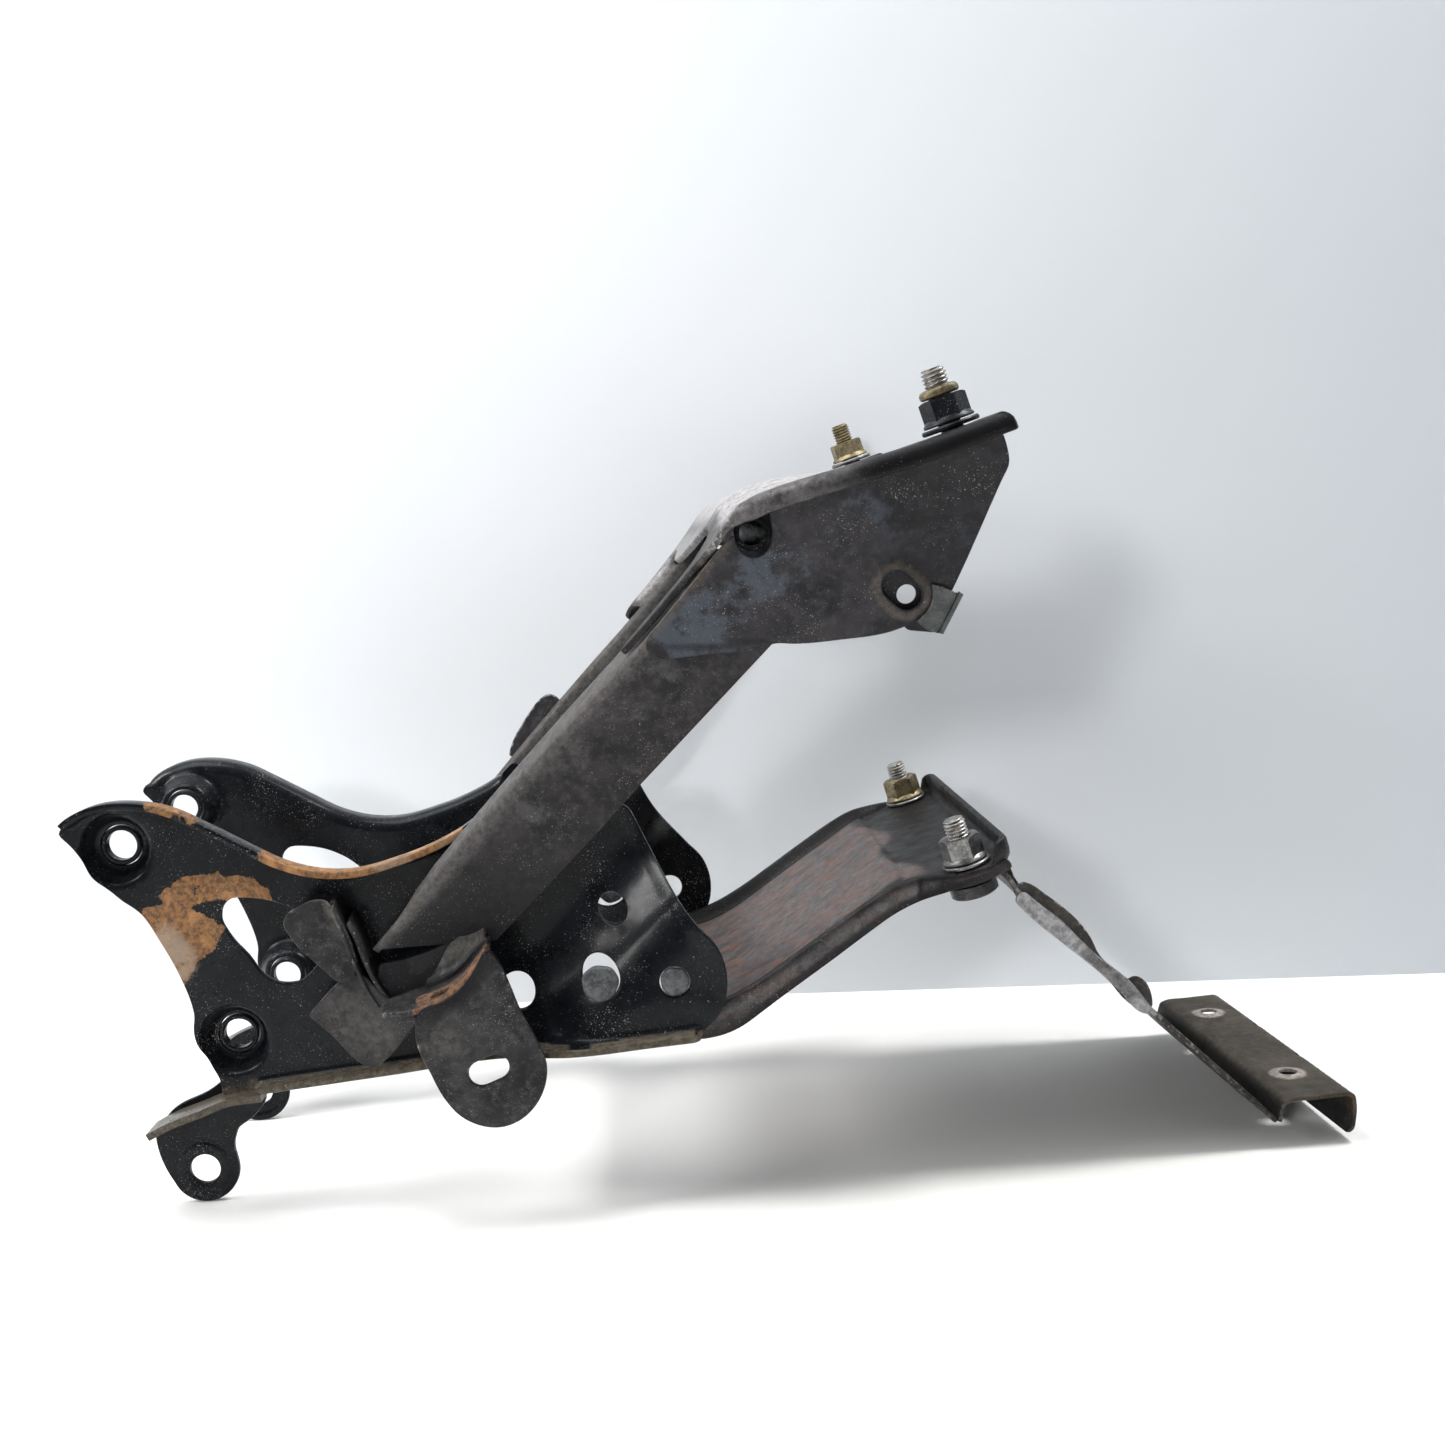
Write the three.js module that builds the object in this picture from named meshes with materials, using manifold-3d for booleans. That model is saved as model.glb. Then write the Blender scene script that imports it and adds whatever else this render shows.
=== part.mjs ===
// Rear support carrier: two mirrored front side plates, two outward-leaning arms,
// a top bridge with two stud pads, a wide rear tray with two studs, and a rear
// hanging bracket with a cross channel.
// Units are millimetres. +X points to the rear, +Y to the right, +Z up.
// The design frame is level with the carrier's bolts (X = 0 at the upper bolt axis).
// The whole group is then tilted by REST_TILT so that it stands on its two front ears
// and the rear channel, and the origin is moved to the bottom centre.
// Outlines and lines are lists of [x, z] unless noted.
// Paired pieces are drawn on the right and mirrored.
import * as THREE from 'three';
import { mergeVertices } from 'three/addons/utils/BufferGeometryUtils.js';
import Module from 'manifold-3d';

const wasm = await Module();
wasm.setup();

// ---------- driving dimensions ----------
const T = 2.6; // main sheet thickness
const BRIDGE_T = 2.4;
const HANGER_T = 2;
const CHANNEL_T = 1.6;
const GAP = 0.3; // clearance between neighbouring pieces
const WEB_IN = 45.2; // front web, inner face, distance from the mid-plane
const BOSS_IN = 37.2; // inner face of the joggled bolt bosses
const BOLT_HOLE_R = 5.5; // M10 clearance
const STUD_R = 4; // M8 studs
const STUD_BORE_R = STUD_R + GAP;
const TRAY_HALF = 72.4; // half width of the rear tray
const REST_TILT = 3.3; // degrees, rear end down
// stud foot on the pad's top face; tilt is degrees leaning forwards
const UPPER_STUD = { x: 284.5, y: 120, z: 279.4, tilt: 20 };
const LOWER_STUD = { x: 303, y: 66, z: 130.84, tilt: 18 };

// outer faces at height z, measured from the mid-plane
const ARM_LEAN = 0.3986; // mm outwards per mm of height
const ARM_OUT_100 = 60; // arm outer face at height 100
const BRIDGE_OVERHANG = 2.6; // bridge edge beyond the gusset
const armOut = (z) => ARM_OUT_100 + ARM_LEAN * (z - 100);
const gussetOut = (z) => armOut(z) + GAP + T;
const bridgeOut = (z) => gussetOut(z) + BRIDGE_OVERHANG;

// ---------- finishes ----------
const BLACK = { color: 0x14171b, roughness: 0.38, metalness: 0.35 };
const WORN = { color: 0x3b3735, roughness: 0.7, metalness: 0.3 };
const GREY = { color: 0x5c5650, roughness: 0.65, metalness: 0.4 };
const ZINC = { color: 0xa9a9a2, roughness: 0.4, metalness: 0.85 };
const GOLD = { color: 0x9c8a52, roughness: 0.5, metalness: 0.75 };

// ---------- solids and geometries ----------
function toSolid(geometry) {
  const bare = geometry.clone();
  bare.deleteAttribute('normal');
  bare.deleteAttribute('uv');
  const merged = mergeVertices(bare, 1e-5);
  return new wasm.Manifold(new wasm.Mesh({
    numProp: 3,
    vertProperties: new Float32Array(merged.attributes.position.array),
    triVerts: new Uint32Array(merged.index.array),
  }));
}

function indexed(positions, triangles) {
  const geometry = new THREE.BufferGeometry();
  const array = new Float32Array(positions);
  geometry.setAttribute('position', new THREE.BufferAttribute(array, 3));
  geometry.setIndex(new THREE.BufferAttribute(new Uint32Array(triangles), 1));
  geometry.computeVertexNormals();
  return geometry;
}

function toGeometry(solid) {
  const mesh = solid.getMesh();
  return indexed(mesh.vertProperties, mesh.triVerts);
}

const union = (...solids) => solids.reduce((total, solid) => total.add(solid));

// moves every vertex by move(x, y, z); flip turns the faces over
function map(source, move, flip = false) {
  const geometry = source.clone();
  const points = geometry.attributes.position;
  for (let i = 0; i < points.count; i++) {
    points.setXYZ(i, ...move(points.getX(i), points.getY(i), points.getZ(i)));
  }
  if (flip) {
    if (!geometry.index) geometry.setIndex([...Array(points.count).keys()]);
    const index = geometry.index.array;
    for (let i = 0; i < index.length; i += 3) {
      [index[i], index[i + 1]] = [index[i + 1], index[i]];
    }
  }
  geometry.computeVertexNormals();
  return geometry;
}

const mirrorY = (geometry) => map(geometry, (x, y, z) => [x, -y, z], true);
const bothSides = (geometry) => [toSolid(geometry), toSolid(mirrorY(geometry))];
// moves each level sideways by offset(z)
const shear = (geometry, offset) => map(geometry, (x, y, z) => [x, y + offset(z), z]);

// ---------- outlines ----------
const arcPoint = ([x, z], radius, angle) =>
  [x + radius * Math.cos(angle), z + radius * Math.sin(angle)];

const circle = (centre, radius, count = 20, start = 0) =>
  Array.from({ length: count }, (_, i) =>
    arcPoint(centre, radius, start + (i / count) * Math.PI * 2));

// round-ended slot; half is the distance from its centre to each end centre
function slot({ centre, half, radius, angle, steps }) {
  const points = [];
  for (const end of [1, -1]) {
    const endCentre = arcPoint(centre, end * half, angle);
    for (let i = 0; i <= steps; i++) {
      const turn = angle - end * Math.PI / 2 + (i / steps) * Math.PI;
      points.push(arcPoint(endCentre, radius, turn));
    }
  }
  return points;
}

// strip of given thickness below a line that runs rearwards
function strip(line, thickness) {
  const under = line.map(([x, z], i) => {
    const before = line[Math.max(0, i - 1)];
    const after = line[Math.min(line.length - 1, i + 1)];
    const dx = after[0] - before[0];
    const dz = after[1] - before[1];
    const length = Math.hypot(dx, dz);
    return [x + (dz / length) * thickness, z - (dx / length) * thickness];
  });
  return [...line, ...under.reverse()];
}

// ---------- basic shapes ----------
const vectors = (points) => points.map((point) => new THREE.Vector2(...point));

function extrude(outline, depth, holes) {
  const shape = new THREE.Shape(vectors(outline));
  for (const hole of holes) shape.holes.push(new THREE.Path(vectors(hole)));
  return new THREE.ExtrudeGeometry(shape, { depth, bevelEnabled: false });
}

// X-Z outline pushed from y0 to y1
const prism = (outline, y0, y1, holes = []) =>
  extrude(outline, y1 - y0, holes).rotateX(Math.PI / 2).translate(0, y1, 0);

// upright pieces about the Z axis
const rod = (radius, z0, z1, sides = 20) =>
  new THREE.CylinderGeometry(radius, radius, z1 - z0, sides)
    .rotateX(Math.PI / 2)
    .translate(0, 0, (z0 + z1) / 2);
const bored = (outline, z0, z1) =>
  extrude(outline, z1 - z0, [circle([0, 0], STUD_BORE_R)]).translate(0, 0, z0);
const ring = (radius, z0, z1) => bored(circle([0, 0], radius, 24), z0, z1);

const HEX_R = 13 / 2 / Math.cos(Math.PI / 6); // corner radius, 13 across flats
const hexRing = (z0, z1) => bored(circle([0, 0], HEX_R, 6, Math.PI / 6), z0, z1);

// places an upright piece on a stud's axis; side is 1 right, -1 left
const onStud = (geometry, stud, side) =>
  geometry
    .rotateY(THREE.MathUtils.degToRad(-stud.tilt))
    .translate(stud.x, side * stud.y, stud.z);

function cutStudHoles(solid, stud, z0, z1) {
  return [1, -1].reduce((rest, side) =>
    rest.subtract(toSolid(onStud(rod(STUD_BORE_R, z0, z1), stud, side))), solid);
}

// ---------- side plates ----------
const UPPER_BOSS = [0, 135.5];
const MIDDLE_BOSS = [39.4, 64.7];
const DISH_R = 12; // rim of the bolt dish
const DISH_BORE_R = 7.5;
const DISH_OVERLAP = 0.6; // dish rim inside the web's hole
const FRONT_WELD = { centre: [173.3, 91.7], radius: 6.4 };
const REAR_WELD = { centre: [199.3, 92], radius: 5 };
const WELD_CLEARANCE = 0.4;
const WELD_IN = 72.9;
const WELD_OUT = 75;
const TOP_FLANGE_OUT = 56.5;
const LOW_FLANGE_OUT = 55;
const TIP_FLANGE_IN = 42;

const TOP_EDGE = [
  [-20, 141], [-16, 146.3], [-10, 150.3], [-2, 153], [9, 153.6], [21, 151.4], [35, 144.8],
  [48, 138], [60, 132], [72, 128.8], [85, 128.6], [100, 132.5], [115, 138.5], [126, 145],
  [134, 153],
];
// from the top down
const REAR_EDGE = [
  [141, 147], [150, 146], [166, 150], [178, 151.5], [183.5, 149], [188, 140], [194.3, 129],
  [202.8, 117], [208, 111], [213.2, 105.8], [216.7, 98.6], [217.7, 91.5], [215.6, 81.5],
];
// the first points, ahead of the web, carry the tip flange
const BOTTOM_EDGE = [
  [8.6, 32.1], [14.4, 35.3], [28.8, 41.1], [36.4, 44.3], [50, 46.3], [79, 50.4], [116, 56],
  [152, 65], [187, 70.3], [207.5, 72.6],
];
// from the bottom up
const FRONT_EDGE = [
  [34.4, 43.6], [34.2, 48.1], [30.2, 56.1], [26.1, 62.6], [24.9, 68.3], [25.5, 73.9],
  [24.6, 78.4], [20.8, 88.9], [14.2, 101.9], [7.6, 112.3], [1.4, 116.8], [-2.7, 120.5],
  [-7.8, 124.2], [-14.3, 135.2],
];
const WEB_WINDOW = [
  [36.8, 114], [36.4, 109], [41, 101.5], [46, 96], [50, 90], [56, 86], [64, 86], [70, 92],
  [73, 100], [71.6, 106], [64, 112], [55, 116], [46, 117.4], [40, 117.4],
];

// The sheet steps outwards with distance along a direction in X-Z.
// SPLAY rows are [distance, outward step].
const SPLAY = [[48, 0], [56, 4], [72, 23.5], [80, 27.5]];
const splayDistance = (x, z) => (x - 92) * 0.76 - (z - 100.5) * 0.65;

function splayStep(distance) {
  if (distance <= SPLAY[0][0]) return SPLAY[0][1];
  for (let i = 1; i < SPLAY.length; i++) {
    const [start, low] = SPLAY[i - 1];
    const [end, high] = SPLAY[i];
    if (distance <= end) return low + ((distance - start) / (end - start)) * (high - low);
  }
  return SPLAY.at(-1)[1];
}

// cuts every face where splayDistance equals level, keeping shared edges shared
function splitAt(geometry, level) {
  const positions = Array.from(geometry.attributes.position.array);
  const index = geometry.index.array;
  const height = (i) => splayDistance(positions[3 * i], positions[3 * i + 2]) - level;
  const cuts = new Map();
  const cutBetween = (...ends) => {
    const [from, to] = ends.sort((first, second) => first - second);
    const key = `${from}_${to}`;
    if (!cuts.has(key)) {
      const part = height(from) / (height(from) - height(to));
      for (let i = 0; i < 3; i++) {
        const start = positions[3 * from + i];
        positions.push(start + part * (positions[3 * to + i] - start));
      }
      cuts.set(key, positions.length / 3 - 1);
    }
    return cuts.get(key);
  };
  const triangles = [];
  const tolerance = 1e-4;
  for (let i = 0; i < index.length; i += 3) {
    const corners = [index[i], index[i + 1], index[i + 2]];
    const sides = corners.map((corner) => {
      const above = height(corner);
      return Math.abs(above) > tolerance ? Math.sign(above) : 0;
    });
    if (!(sides.includes(1) && sides.includes(-1))) {
      triangles.push(...corners);
      continue;
    }
    // start from the corner on the plane, or else from the one alone on its side
    const onPlane = sides.indexOf(0);
    const first = onPlane >= 0 ? onPlane : sides.findIndex((side, k) =>
      side !== sides[(k + 1) % 3] && side !== sides[(k + 2) % 3]);
    const [apex, next, last] = [0, 1, 2].map((k) => corners[(first + k) % 3]);
    if (onPlane >= 0) {
      const middle = cutBetween(next, last);
      triangles.push(apex, next, middle, apex, middle, last);
    } else {
      const near = cutBetween(apex, next);
      const far = cutBetween(apex, last);
      triangles.push(apex, near, far, near, next, last, near, last, far);
    }
  }
  return indexed(positions, triangles);
}

// dished bolt boss, turned about the Y axis; profile rows are [radius, y]
function boltDish([x, z]) {
  const profile = [
    [9.6, BOSS_IN], [DISH_R, WEB_IN], [DISH_R, WEB_IN + T], [DISH_R - 1.5, WEB_IN + T],
    [8.6, BOSS_IN + T], [DISH_BORE_R, BOSS_IN + T], [DISH_BORE_R, BOSS_IN], [9.6, BOSS_IN],
  ];
  const turned = new THREE.LatheGeometry(vectors(profile), 24).translate(x, 0, z);
  const solid = toSolid(turned);
  // a negative volume means the faces point inwards
  return solid.volume() < 0 ? toSolid(map(turned, (...point) => point, true)) : solid;
}

function sidePlate() {
  const outline = [...TOP_EDGE, ...REAR_EDGE, ...BOTTOM_EDGE.slice(4).reverse(), ...FRONT_EDGE];
  const web = prism(outline, WEB_IN, WEB_IN + T, [
    circle(UPPER_BOSS, DISH_R - DISH_OVERLAP, 24),
    circle(MIDDLE_BOSS, DISH_R - DISH_OVERLAP, 24),
    WEB_WINDOW,
    circle([142.5, 82.5], 6.5, 20),
    circle([177.1, 113.5], 5.2, 18),
    circle(FRONT_WELD.centre, FRONT_WELD.radius + WELD_CLEARANCE, 20),
    circle(REAR_WELD.centre, REAR_WELD.radius + WELD_CLEARANCE, 18),
  ]);
  const flange = (edge, inner, outer) => toSolid(prism(strip(edge, T), inner, outer));
  let plate = toGeometry(union(
    toSolid(web),
    boltDish(UPPER_BOSS),
    boltDish(MIDDLE_BOSS),
    flange(TOP_EDGE, WEB_IN, TOP_FLANGE_OUT),
    flange(BOTTOM_EDGE.slice(3), WEB_IN, LOW_FLANGE_OUT),
    flange(BOTTOM_EDGE.slice(0, 5), TIP_FLANGE_IN, LOW_FLANGE_OUT),
  ));
  for (const [distance] of SPLAY) plate = splitAt(plate, distance);
  return map(plate, (x, y, z) => [x, y + splayStep(splayDistance(x, z)), z]);
}

// bolt sleeve pressed into a boss
const sleeve = (boss) =>
  prism(circle(boss, DISH_BORE_R - GAP, 24), BOSS_IN - 1.2, BOSS_IN + 3.4,
    [circle(boss, BOLT_HOLE_R, 24)]);

// plug weld that holds a side plate on the tray's front lap
const plugWeld = ({ centre, radius }) => prism(circle(centre, radius, 18), WELD_IN, WELD_OUT);

// lower bolt ear, welded inside the front web
const EAR_IN = 39;
const EAR_HOLE = [25.4, 13.4];
const EAR_R = 12.6;

function lowerEar() {
  const round = Array.from({ length: 10 }, (_, i) =>
    arcPoint(EAR_HOLE, EAR_R, THREE.MathUtils.degToRad(200 + 20 * i)));
  const outline = [
    [7.6, 26], [9, 19], [13.3, 9.5], ...round, [36.3, 22], [38, 29], [44, 33.5],
    [48.5, 39], [48.5, 49.5], [36, 49], [28, 43.5], [14, 36],
  ];
  return prism(outline, EAR_IN, EAR_IN + T, [circle(EAR_HOLE, BOLT_HOLE_R, 24)]);
}

// ---------- arms ----------
const ARM_IN_MIN = 57; // least inner distance of the front wall
const armIn = (z) => ARM_IN_MIN + 0.3 * (z - 118);
const ARM_UPPER = [
  [92.3, 101], [117.1, 130.5], [140.6, 158.4], [164.9, 186.1], [188.1, 212],
  [203.9, 231.4], [211, 241],
];
const ARM_LOWER = [[231.2, 213], [214, 193.4], [187.7, 163.5], [173.9, 147], [136.5, 104.5]];
const ARM_INNER_WALL = [
  [113, 122], ...ARM_UPPER.slice(1), [222, 226], [206, 207.5], [187.7, 187], [168, 165],
  [146, 138], [126, 118.5],
];

function arm() {
  const outer = shear(prism([...ARM_UPPER, ...ARM_LOWER], -T, 0), armOut);
  const inner = shear(prism(ARM_INNER_WALL, 0, T), armIn);
  const front = map(prism(strip(ARM_UPPER, T), 0, 1), (x, y, z) =>
    [x, Math.max(armIn(z), ARM_IN_MIN) * (1 - y) + armOut(z) * y, z]);
  return toGeometry(union(toSolid(outer), toSolid(inner), toSolid(front)));
}

// ---------- gussets ----------
const GUSSET = [
  [190, 213.6], [194.5, 219.6], [200.8, 227.2], [206.9, 235.2], [214.5, 244.6],
  [217.6, 247.6], [218, 244], [220.8, 240.6], [224.5, 239.8], [227.9, 241.8], [229, 246],
  [228.9, 250], [227.8, 253.6], [231.1, 256.7], [249.2, 262.1], [267, 268.6], [276, 272],
  [296.2, 279.2], [297.6, 277.2], [299.6, 272.5], [300.5, 268.7], [298.9, 264.2],
  [286, 227.9], [284.4, 224], [267.8, 216.2], [252, 213.7], [236.9, 212.4], [231.2, 212.6],
  [226.4, 210.9], [207.2, 208.7], [194.5, 207.3], [189.7, 210.6],
];
const GUSSET_SLOT = { centre: [270.6, 229.6], half: 2.6, radius: 4.6, angle: -0.72, steps: 8 };
const gusset = () => shear(prism(GUSSET, -T, 0, [slot(GUSSET_SLOT)]), gussetOut);

// spring clip nut folded over the rear lower corner of a gusset
const CLIP_OUTER_LEAF = [
  [279.4, 232], [287.8, 229], [288.6, 228.6], [283.3, 216], [275.3, 219.6], [278.6, 222.6],
  [280.4, 226.4], [280, 229.6],
];
const CLIP_INNER_LEAF = [
  [259, 232], [269, 241.5], [287.8, 229], [288.6, 228.6], [283.3, 216], [274, 216.6],
];
const CLIP_FOLD = [[288.2, 229], [282.9, 216.2], [284.8, 215.4], [289.6, 228.4]];

function clipNut() {
  const outer = GAP + 1.2;
  const inner = -T - GAP - 1.2;
  const hole = circle([271.4, 229.6], 3.2, 16);
  return shear(toGeometry(union(
    toSolid(prism(CLIP_OUTER_LEAF, GAP, outer)),
    toSolid(prism(CLIP_INNER_LEAF, inner, -T - GAP, [hole])),
    toSolid(prism(CLIP_FOLD, inner, outer)),
  )), gussetOut);
}

// ---------- top bridge and cross tube ----------
const BRIDGE_LINE = [
  [186, 214.6], [196, 226.6], [205, 238], [212, 247.8], [218.2, 256.3], [224, 259.3],
  [231, 261.9], [249, 267.4], [267, 273.03], [299.2, 284.75],
];
const WING_START = 0.79; // inner edge of a wing, as a share of the half width
const LIP_DEPTH = 6.2;
const LIP_T = 2.2;

function topBridge() {
  // y0 and y1 are shares of the half width
  const span = (line, y0, y1) => toSolid(
    map(prism(strip(line, BRIDGE_T), y0, y1), (x, y, z) => [x, y * bridgeOut(z), z]));
  const lip = shear(prism(strip(BRIDGE_LINE.slice(4), LIP_DEPTH), -LIP_T, 0), bridgeOut);
  const bridge = union(
    span(BRIDGE_LINE.slice(2, 7), -1, 1),
    span(BRIDGE_LINE, WING_START, 1),
    span(BRIDGE_LINE, -1, -WING_START),
    ...bothSides(lip),
  );
  return toGeometry(cutStudHoles(bridge, UPPER_STUD, -8, 8));
}

function crossTube() {
  const centre = [223, 247.6];
  const half = 117.2;
  return prism(circle(centre, 5.6), -half, half, [circle(centre, 3.9)]);
}

// ---------- rear tray ----------
const PAD_HALF = 75.5;
const FLOOR_HALF = TRAY_HALF - 0.5;
const TRAY_WALL = [
  [188, 79], [205, 80], [219, 85.5], [229, 91.3], [243, 101.4], [257.5, 112.1], [271, 122],
  [279, 127], [285, 128.6], [285, 119.4], [277.6, 115.6], [267.2, 108.2], [257.1, 100.5],
  [239.4, 87.4], [229, 79.5], [223, 75], [217, 72.2], [209, 70.6], [188, 70.9],
];
const TRAY_FLOOR = [
  [196, 76], [212, 76.5], [219, 79], [229, 84.6], [243, 94.8], [257.5, 105.6],
  [271, 115.4], [278, 120.6], [285, 125], [316, 135.07],
];
const PAD_LINE = [[283, 124.35], [316, 135.07]];
const PAD_CHEEK = [[283, 124.6], [316, 135.3], [317, 131], [296, 123.4], [283, 118]];
const TRAY_REAR_LIP = [
  [314.6, 134], [312.4, 144.2], [314.4, 145.6], [316.6, 145], [319.4, 134.5], [317.2, 131.5],
];

function rearTray() {
  const tray = union(
    toSolid(prism(strip(TRAY_FLOOR, T), -FLOOR_HALF, FLOOR_HALF)),
    ...bothSides(prism(TRAY_WALL, TRAY_HALF - T, TRAY_HALF)),
    toSolid(prism(strip(PAD_LINE, T), -PAD_HALF, PAD_HALF)),
    ...bothSides(prism(PAD_CHEEK, PAD_HALF - T, PAD_HALF)),
    toSolid(prism(TRAY_REAR_LIP, -PAD_HALF, PAD_HALF)),
  );
  return toGeometry(cutStudHoles(tray, LOWER_STUD, -8, 8));
}

// ---------- studs, washers and nuts ----------
const UPPER_WASHER_TOP = GAP + 1.6;
const LOWER_WASHER_TOP = GAP + 1.4;
const fuse = (...parts) => toGeometry(union(...parts.map(toSolid)));
const upperStud = () => fuse(rod(STUD_R, -3.5, 19.4), rod(HEX_R, -7.2, -BRIDGE_T - GAP, 6));
const lowerStud = () =>
  fuse(rod(STUD_R, -8, 17.6), rod(8.6, -10.6, -T - HANGER_T - 3 * GAP));
const upperNut = (top) => fuse(ring(8.2, UPPER_WASHER_TOP + GAP, 3.9), hexRing(3.8, top));
const lowerNut = () => fuse(ring(8, LOWER_WASHER_TOP + GAP, 3.6), hexRing(3.5, 11));

function putFasteners(side) {
  const isLeft = side < 0;
  const tag = isLeft ? 'left' : 'right';
  const nutTop = isLeft ? 10.4 : 10.2;
  const upper = (name, geometry, finish) =>
    put(`${name}_${tag}`, onStud(geometry, UPPER_STUD, side), finish);
  const lower = (name, geometry, finish) =>
    put(`${name}_${tag}`, onStud(geometry, LOWER_STUD, side), finish);
  upper('upper_stud', upperStud(), isLeft ? ZINC : GOLD);
  upper('upper_washer', ring(9.2, GAP, UPPER_WASHER_TOP), BLACK);
  upper('upper_nut', upperNut(nutTop), isLeft ? BLACK : GOLD);
  if (isLeft) upper('lock_collar', ring(6.2, nutTop + GAP, 13.6), GOLD);
  lower('lower_stud', lowerStud(), ZINC);
  lower('lower_washer', ring(8.6, GAP, LOWER_WASHER_TOP), ZINC);
  lower('lower_nut', lowerNut(), isLeft ? ZINC : GOLD);
}

// ---------- left arm bracket and hanging tab, right arm clip ----------
const BRACKET_IN = 61.5;
const SHELF_IN = 63.2;
const SHELF_RISE = 5; // the shelf's inner edge stands higher than its outer edge
const TAB_IN = 78.6;
const BRACKET_FACE = [
  [62.4, 111.4], [64.2, 114.9], [68.5, 117.7], [74.8, 120.5], [77.2, 120.1], [82.2, 112.9],
  [86.1, 103.9], [88, 93], [92, 86], [95, 89.6], [101, 89.6], [111, 94.5], [119, 99.6],
  [123, 98], [116, 86], [108.3, 75.4], [95.2, 60.8], [91.7, 58.6], [77.3, 72.9],
  [69.8, 78.4], [81, 91.5], [70.7, 99.4],
];
const SHELF_LINE = [[101.2, 81.4], [111.3, 86], [121.6, 92.3], [126.5, 96.4], [128.4, 98.8]];
const RIB = [[83, 98], [86.3, 88.8], [91, 82], [93, 83.4], [88.7, 90.4], [85.6, 99.4]];
const TAB = [
  [136.9, 105.6], [139.2, 100.2], [145.8, 84.2], [152.4, 71.7], [154.5, 66.2],
  [154.4, 59.1], [152.2, 50.7], [145.2, 44.8], [138.2, 42.7], [131.3, 43.9], [124.4, 48],
  [119.4, 52.4], [114.5, 63.2], [110.5, 72.3], [110.7, 77.6], [121.8, 87], [128.8, 95.1],
];
const TAB_SLOT = { centre: [134.9, 63.4], half: 2.6, radius: 4.4, angle: 0.42, steps: 6 };
const ARM_CLIP = [
  [130, 152.4], [134.4, 163.5], [139.8, 171.5], [142.9, 175.4], [147.3, 177.2], [151, 174.4],
];

function armBracket() {
  const shelfWidth = TAB_IN - GAP - SHELF_IN;
  const shelf = map(prism(strip(SHELF_LINE, T), 0, 1), (x, y, z) =>
    [x, SHELF_IN + y * shelfWidth, z + (1 - y) * SHELF_RISE]);
  return fuse(prism(BRACKET_FACE, BRACKET_IN, BRACKET_IN + T), shelf, prism(RIB, 50, 64));
}

const hangingTab = () => prism(TAB, TAB_IN, TAB_IN + T, [slot(TAB_SLOT)]);
const armClip = () => shear(prism(ARM_CLIP, -11, -8.6), armOut);

// ---------- rear hanger and cross channel ----------
const DROP_HALF = 63.5;
const FLANGE_IN = 63.4;
const CHANNEL_HALF = 65;
const HANGER_TAB_LINE = [[290, 123.35], [314.2, 131.2]];
const HANGER_DROP = [
  [312.6, 130.4], [314.4, 131], [316.6, 129.3], [324, 119.9], [418.9, 35.4],
  [417.6, 33.8], [322.4, 117.8], [314.9, 127.2], [313, 128.6],
];
const HANGER_FLANGE = [
  [318.6, 121.4], [324.4, 121.4], [337, 115.7], [343.7, 110.9], [352.1, 97.6],
  [359.5, 90.4], [362.4, 89.6], [367.6, 88.4], [371, 84], [372, 77.6], [370.6, 75.2],
  [322, 117.4],
];
const CHANNEL_LINE = [
  [420.2, 34.6], [421.2, 41.2], [424, 42.2], [446.2, 44.6], [448.6, 43.2], [449.2, 40],
  [448.6, 27.4],
];

// pulls the right end forwards and down, growing from x = start over length
const TWIST = { start: 324, length: 94, forward: 3, down: 2.4 };
function twist(x, y, z) {
  const along = THREE.MathUtils.clamp((x - TWIST.start) / TWIST.length, 0, 1);
  const amount = along * ((y + CHANNEL_HALF) / (2 * CHANNEL_HALF));
  return [x - TWIST.forward * amount, y, z - TWIST.down * amount];
}

function rearHanger() {
  const hanger = union(
    toSolid(prism(strip(HANGER_TAB_LINE, HANGER_T), -TRAY_HALF, TRAY_HALF)),
    toSolid(prism(HANGER_DROP, -DROP_HALF, DROP_HALF)),
    ...bothSides(prism(HANGER_FLANGE, FLANGE_IN, FLANGE_IN + HANGER_T)),
  );
  return map(toGeometry(cutStudHoles(hanger, LOWER_STUD, -12, 4)), twist);
}

function crossChannel() {
  const sheet = prism(strip(CHANNEL_LINE, CHANNEL_T), -CHANNEL_HALF, CHANNEL_HALF);
  const cutters = [
    ...[-40, 40].map((y) => rod(3.2, -20, 20).translate(434, y, 42)),
    ...[-20, 20].map((y) => new THREE.BoxGeometry(3, 5, 8).translate(449, y, 43)),
  ];
  const channel = cutters.reduce((rest, cutter) => rest.subtract(toSolid(cutter)), toSolid(sheet));
  return map(toGeometry(channel), twist);
}

// ---------- assembly ----------
const root = new THREE.Group();
root.rotation.y = THREE.MathUtils.degToRad(REST_TILT);
const model = new THREE.Group();
root.add(model);

function put(name, geometry, finish) {
  const mesh = new THREE.Mesh(geometry, new THREE.MeshStandardMaterial(finish));
  mesh.name = name;
  model.add(mesh);
}

function pair(name, geometry, finish) {
  put(`${name}_right`, geometry, finish);
  put(`${name}_left`, mirrorY(geometry), finish);
}

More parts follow.
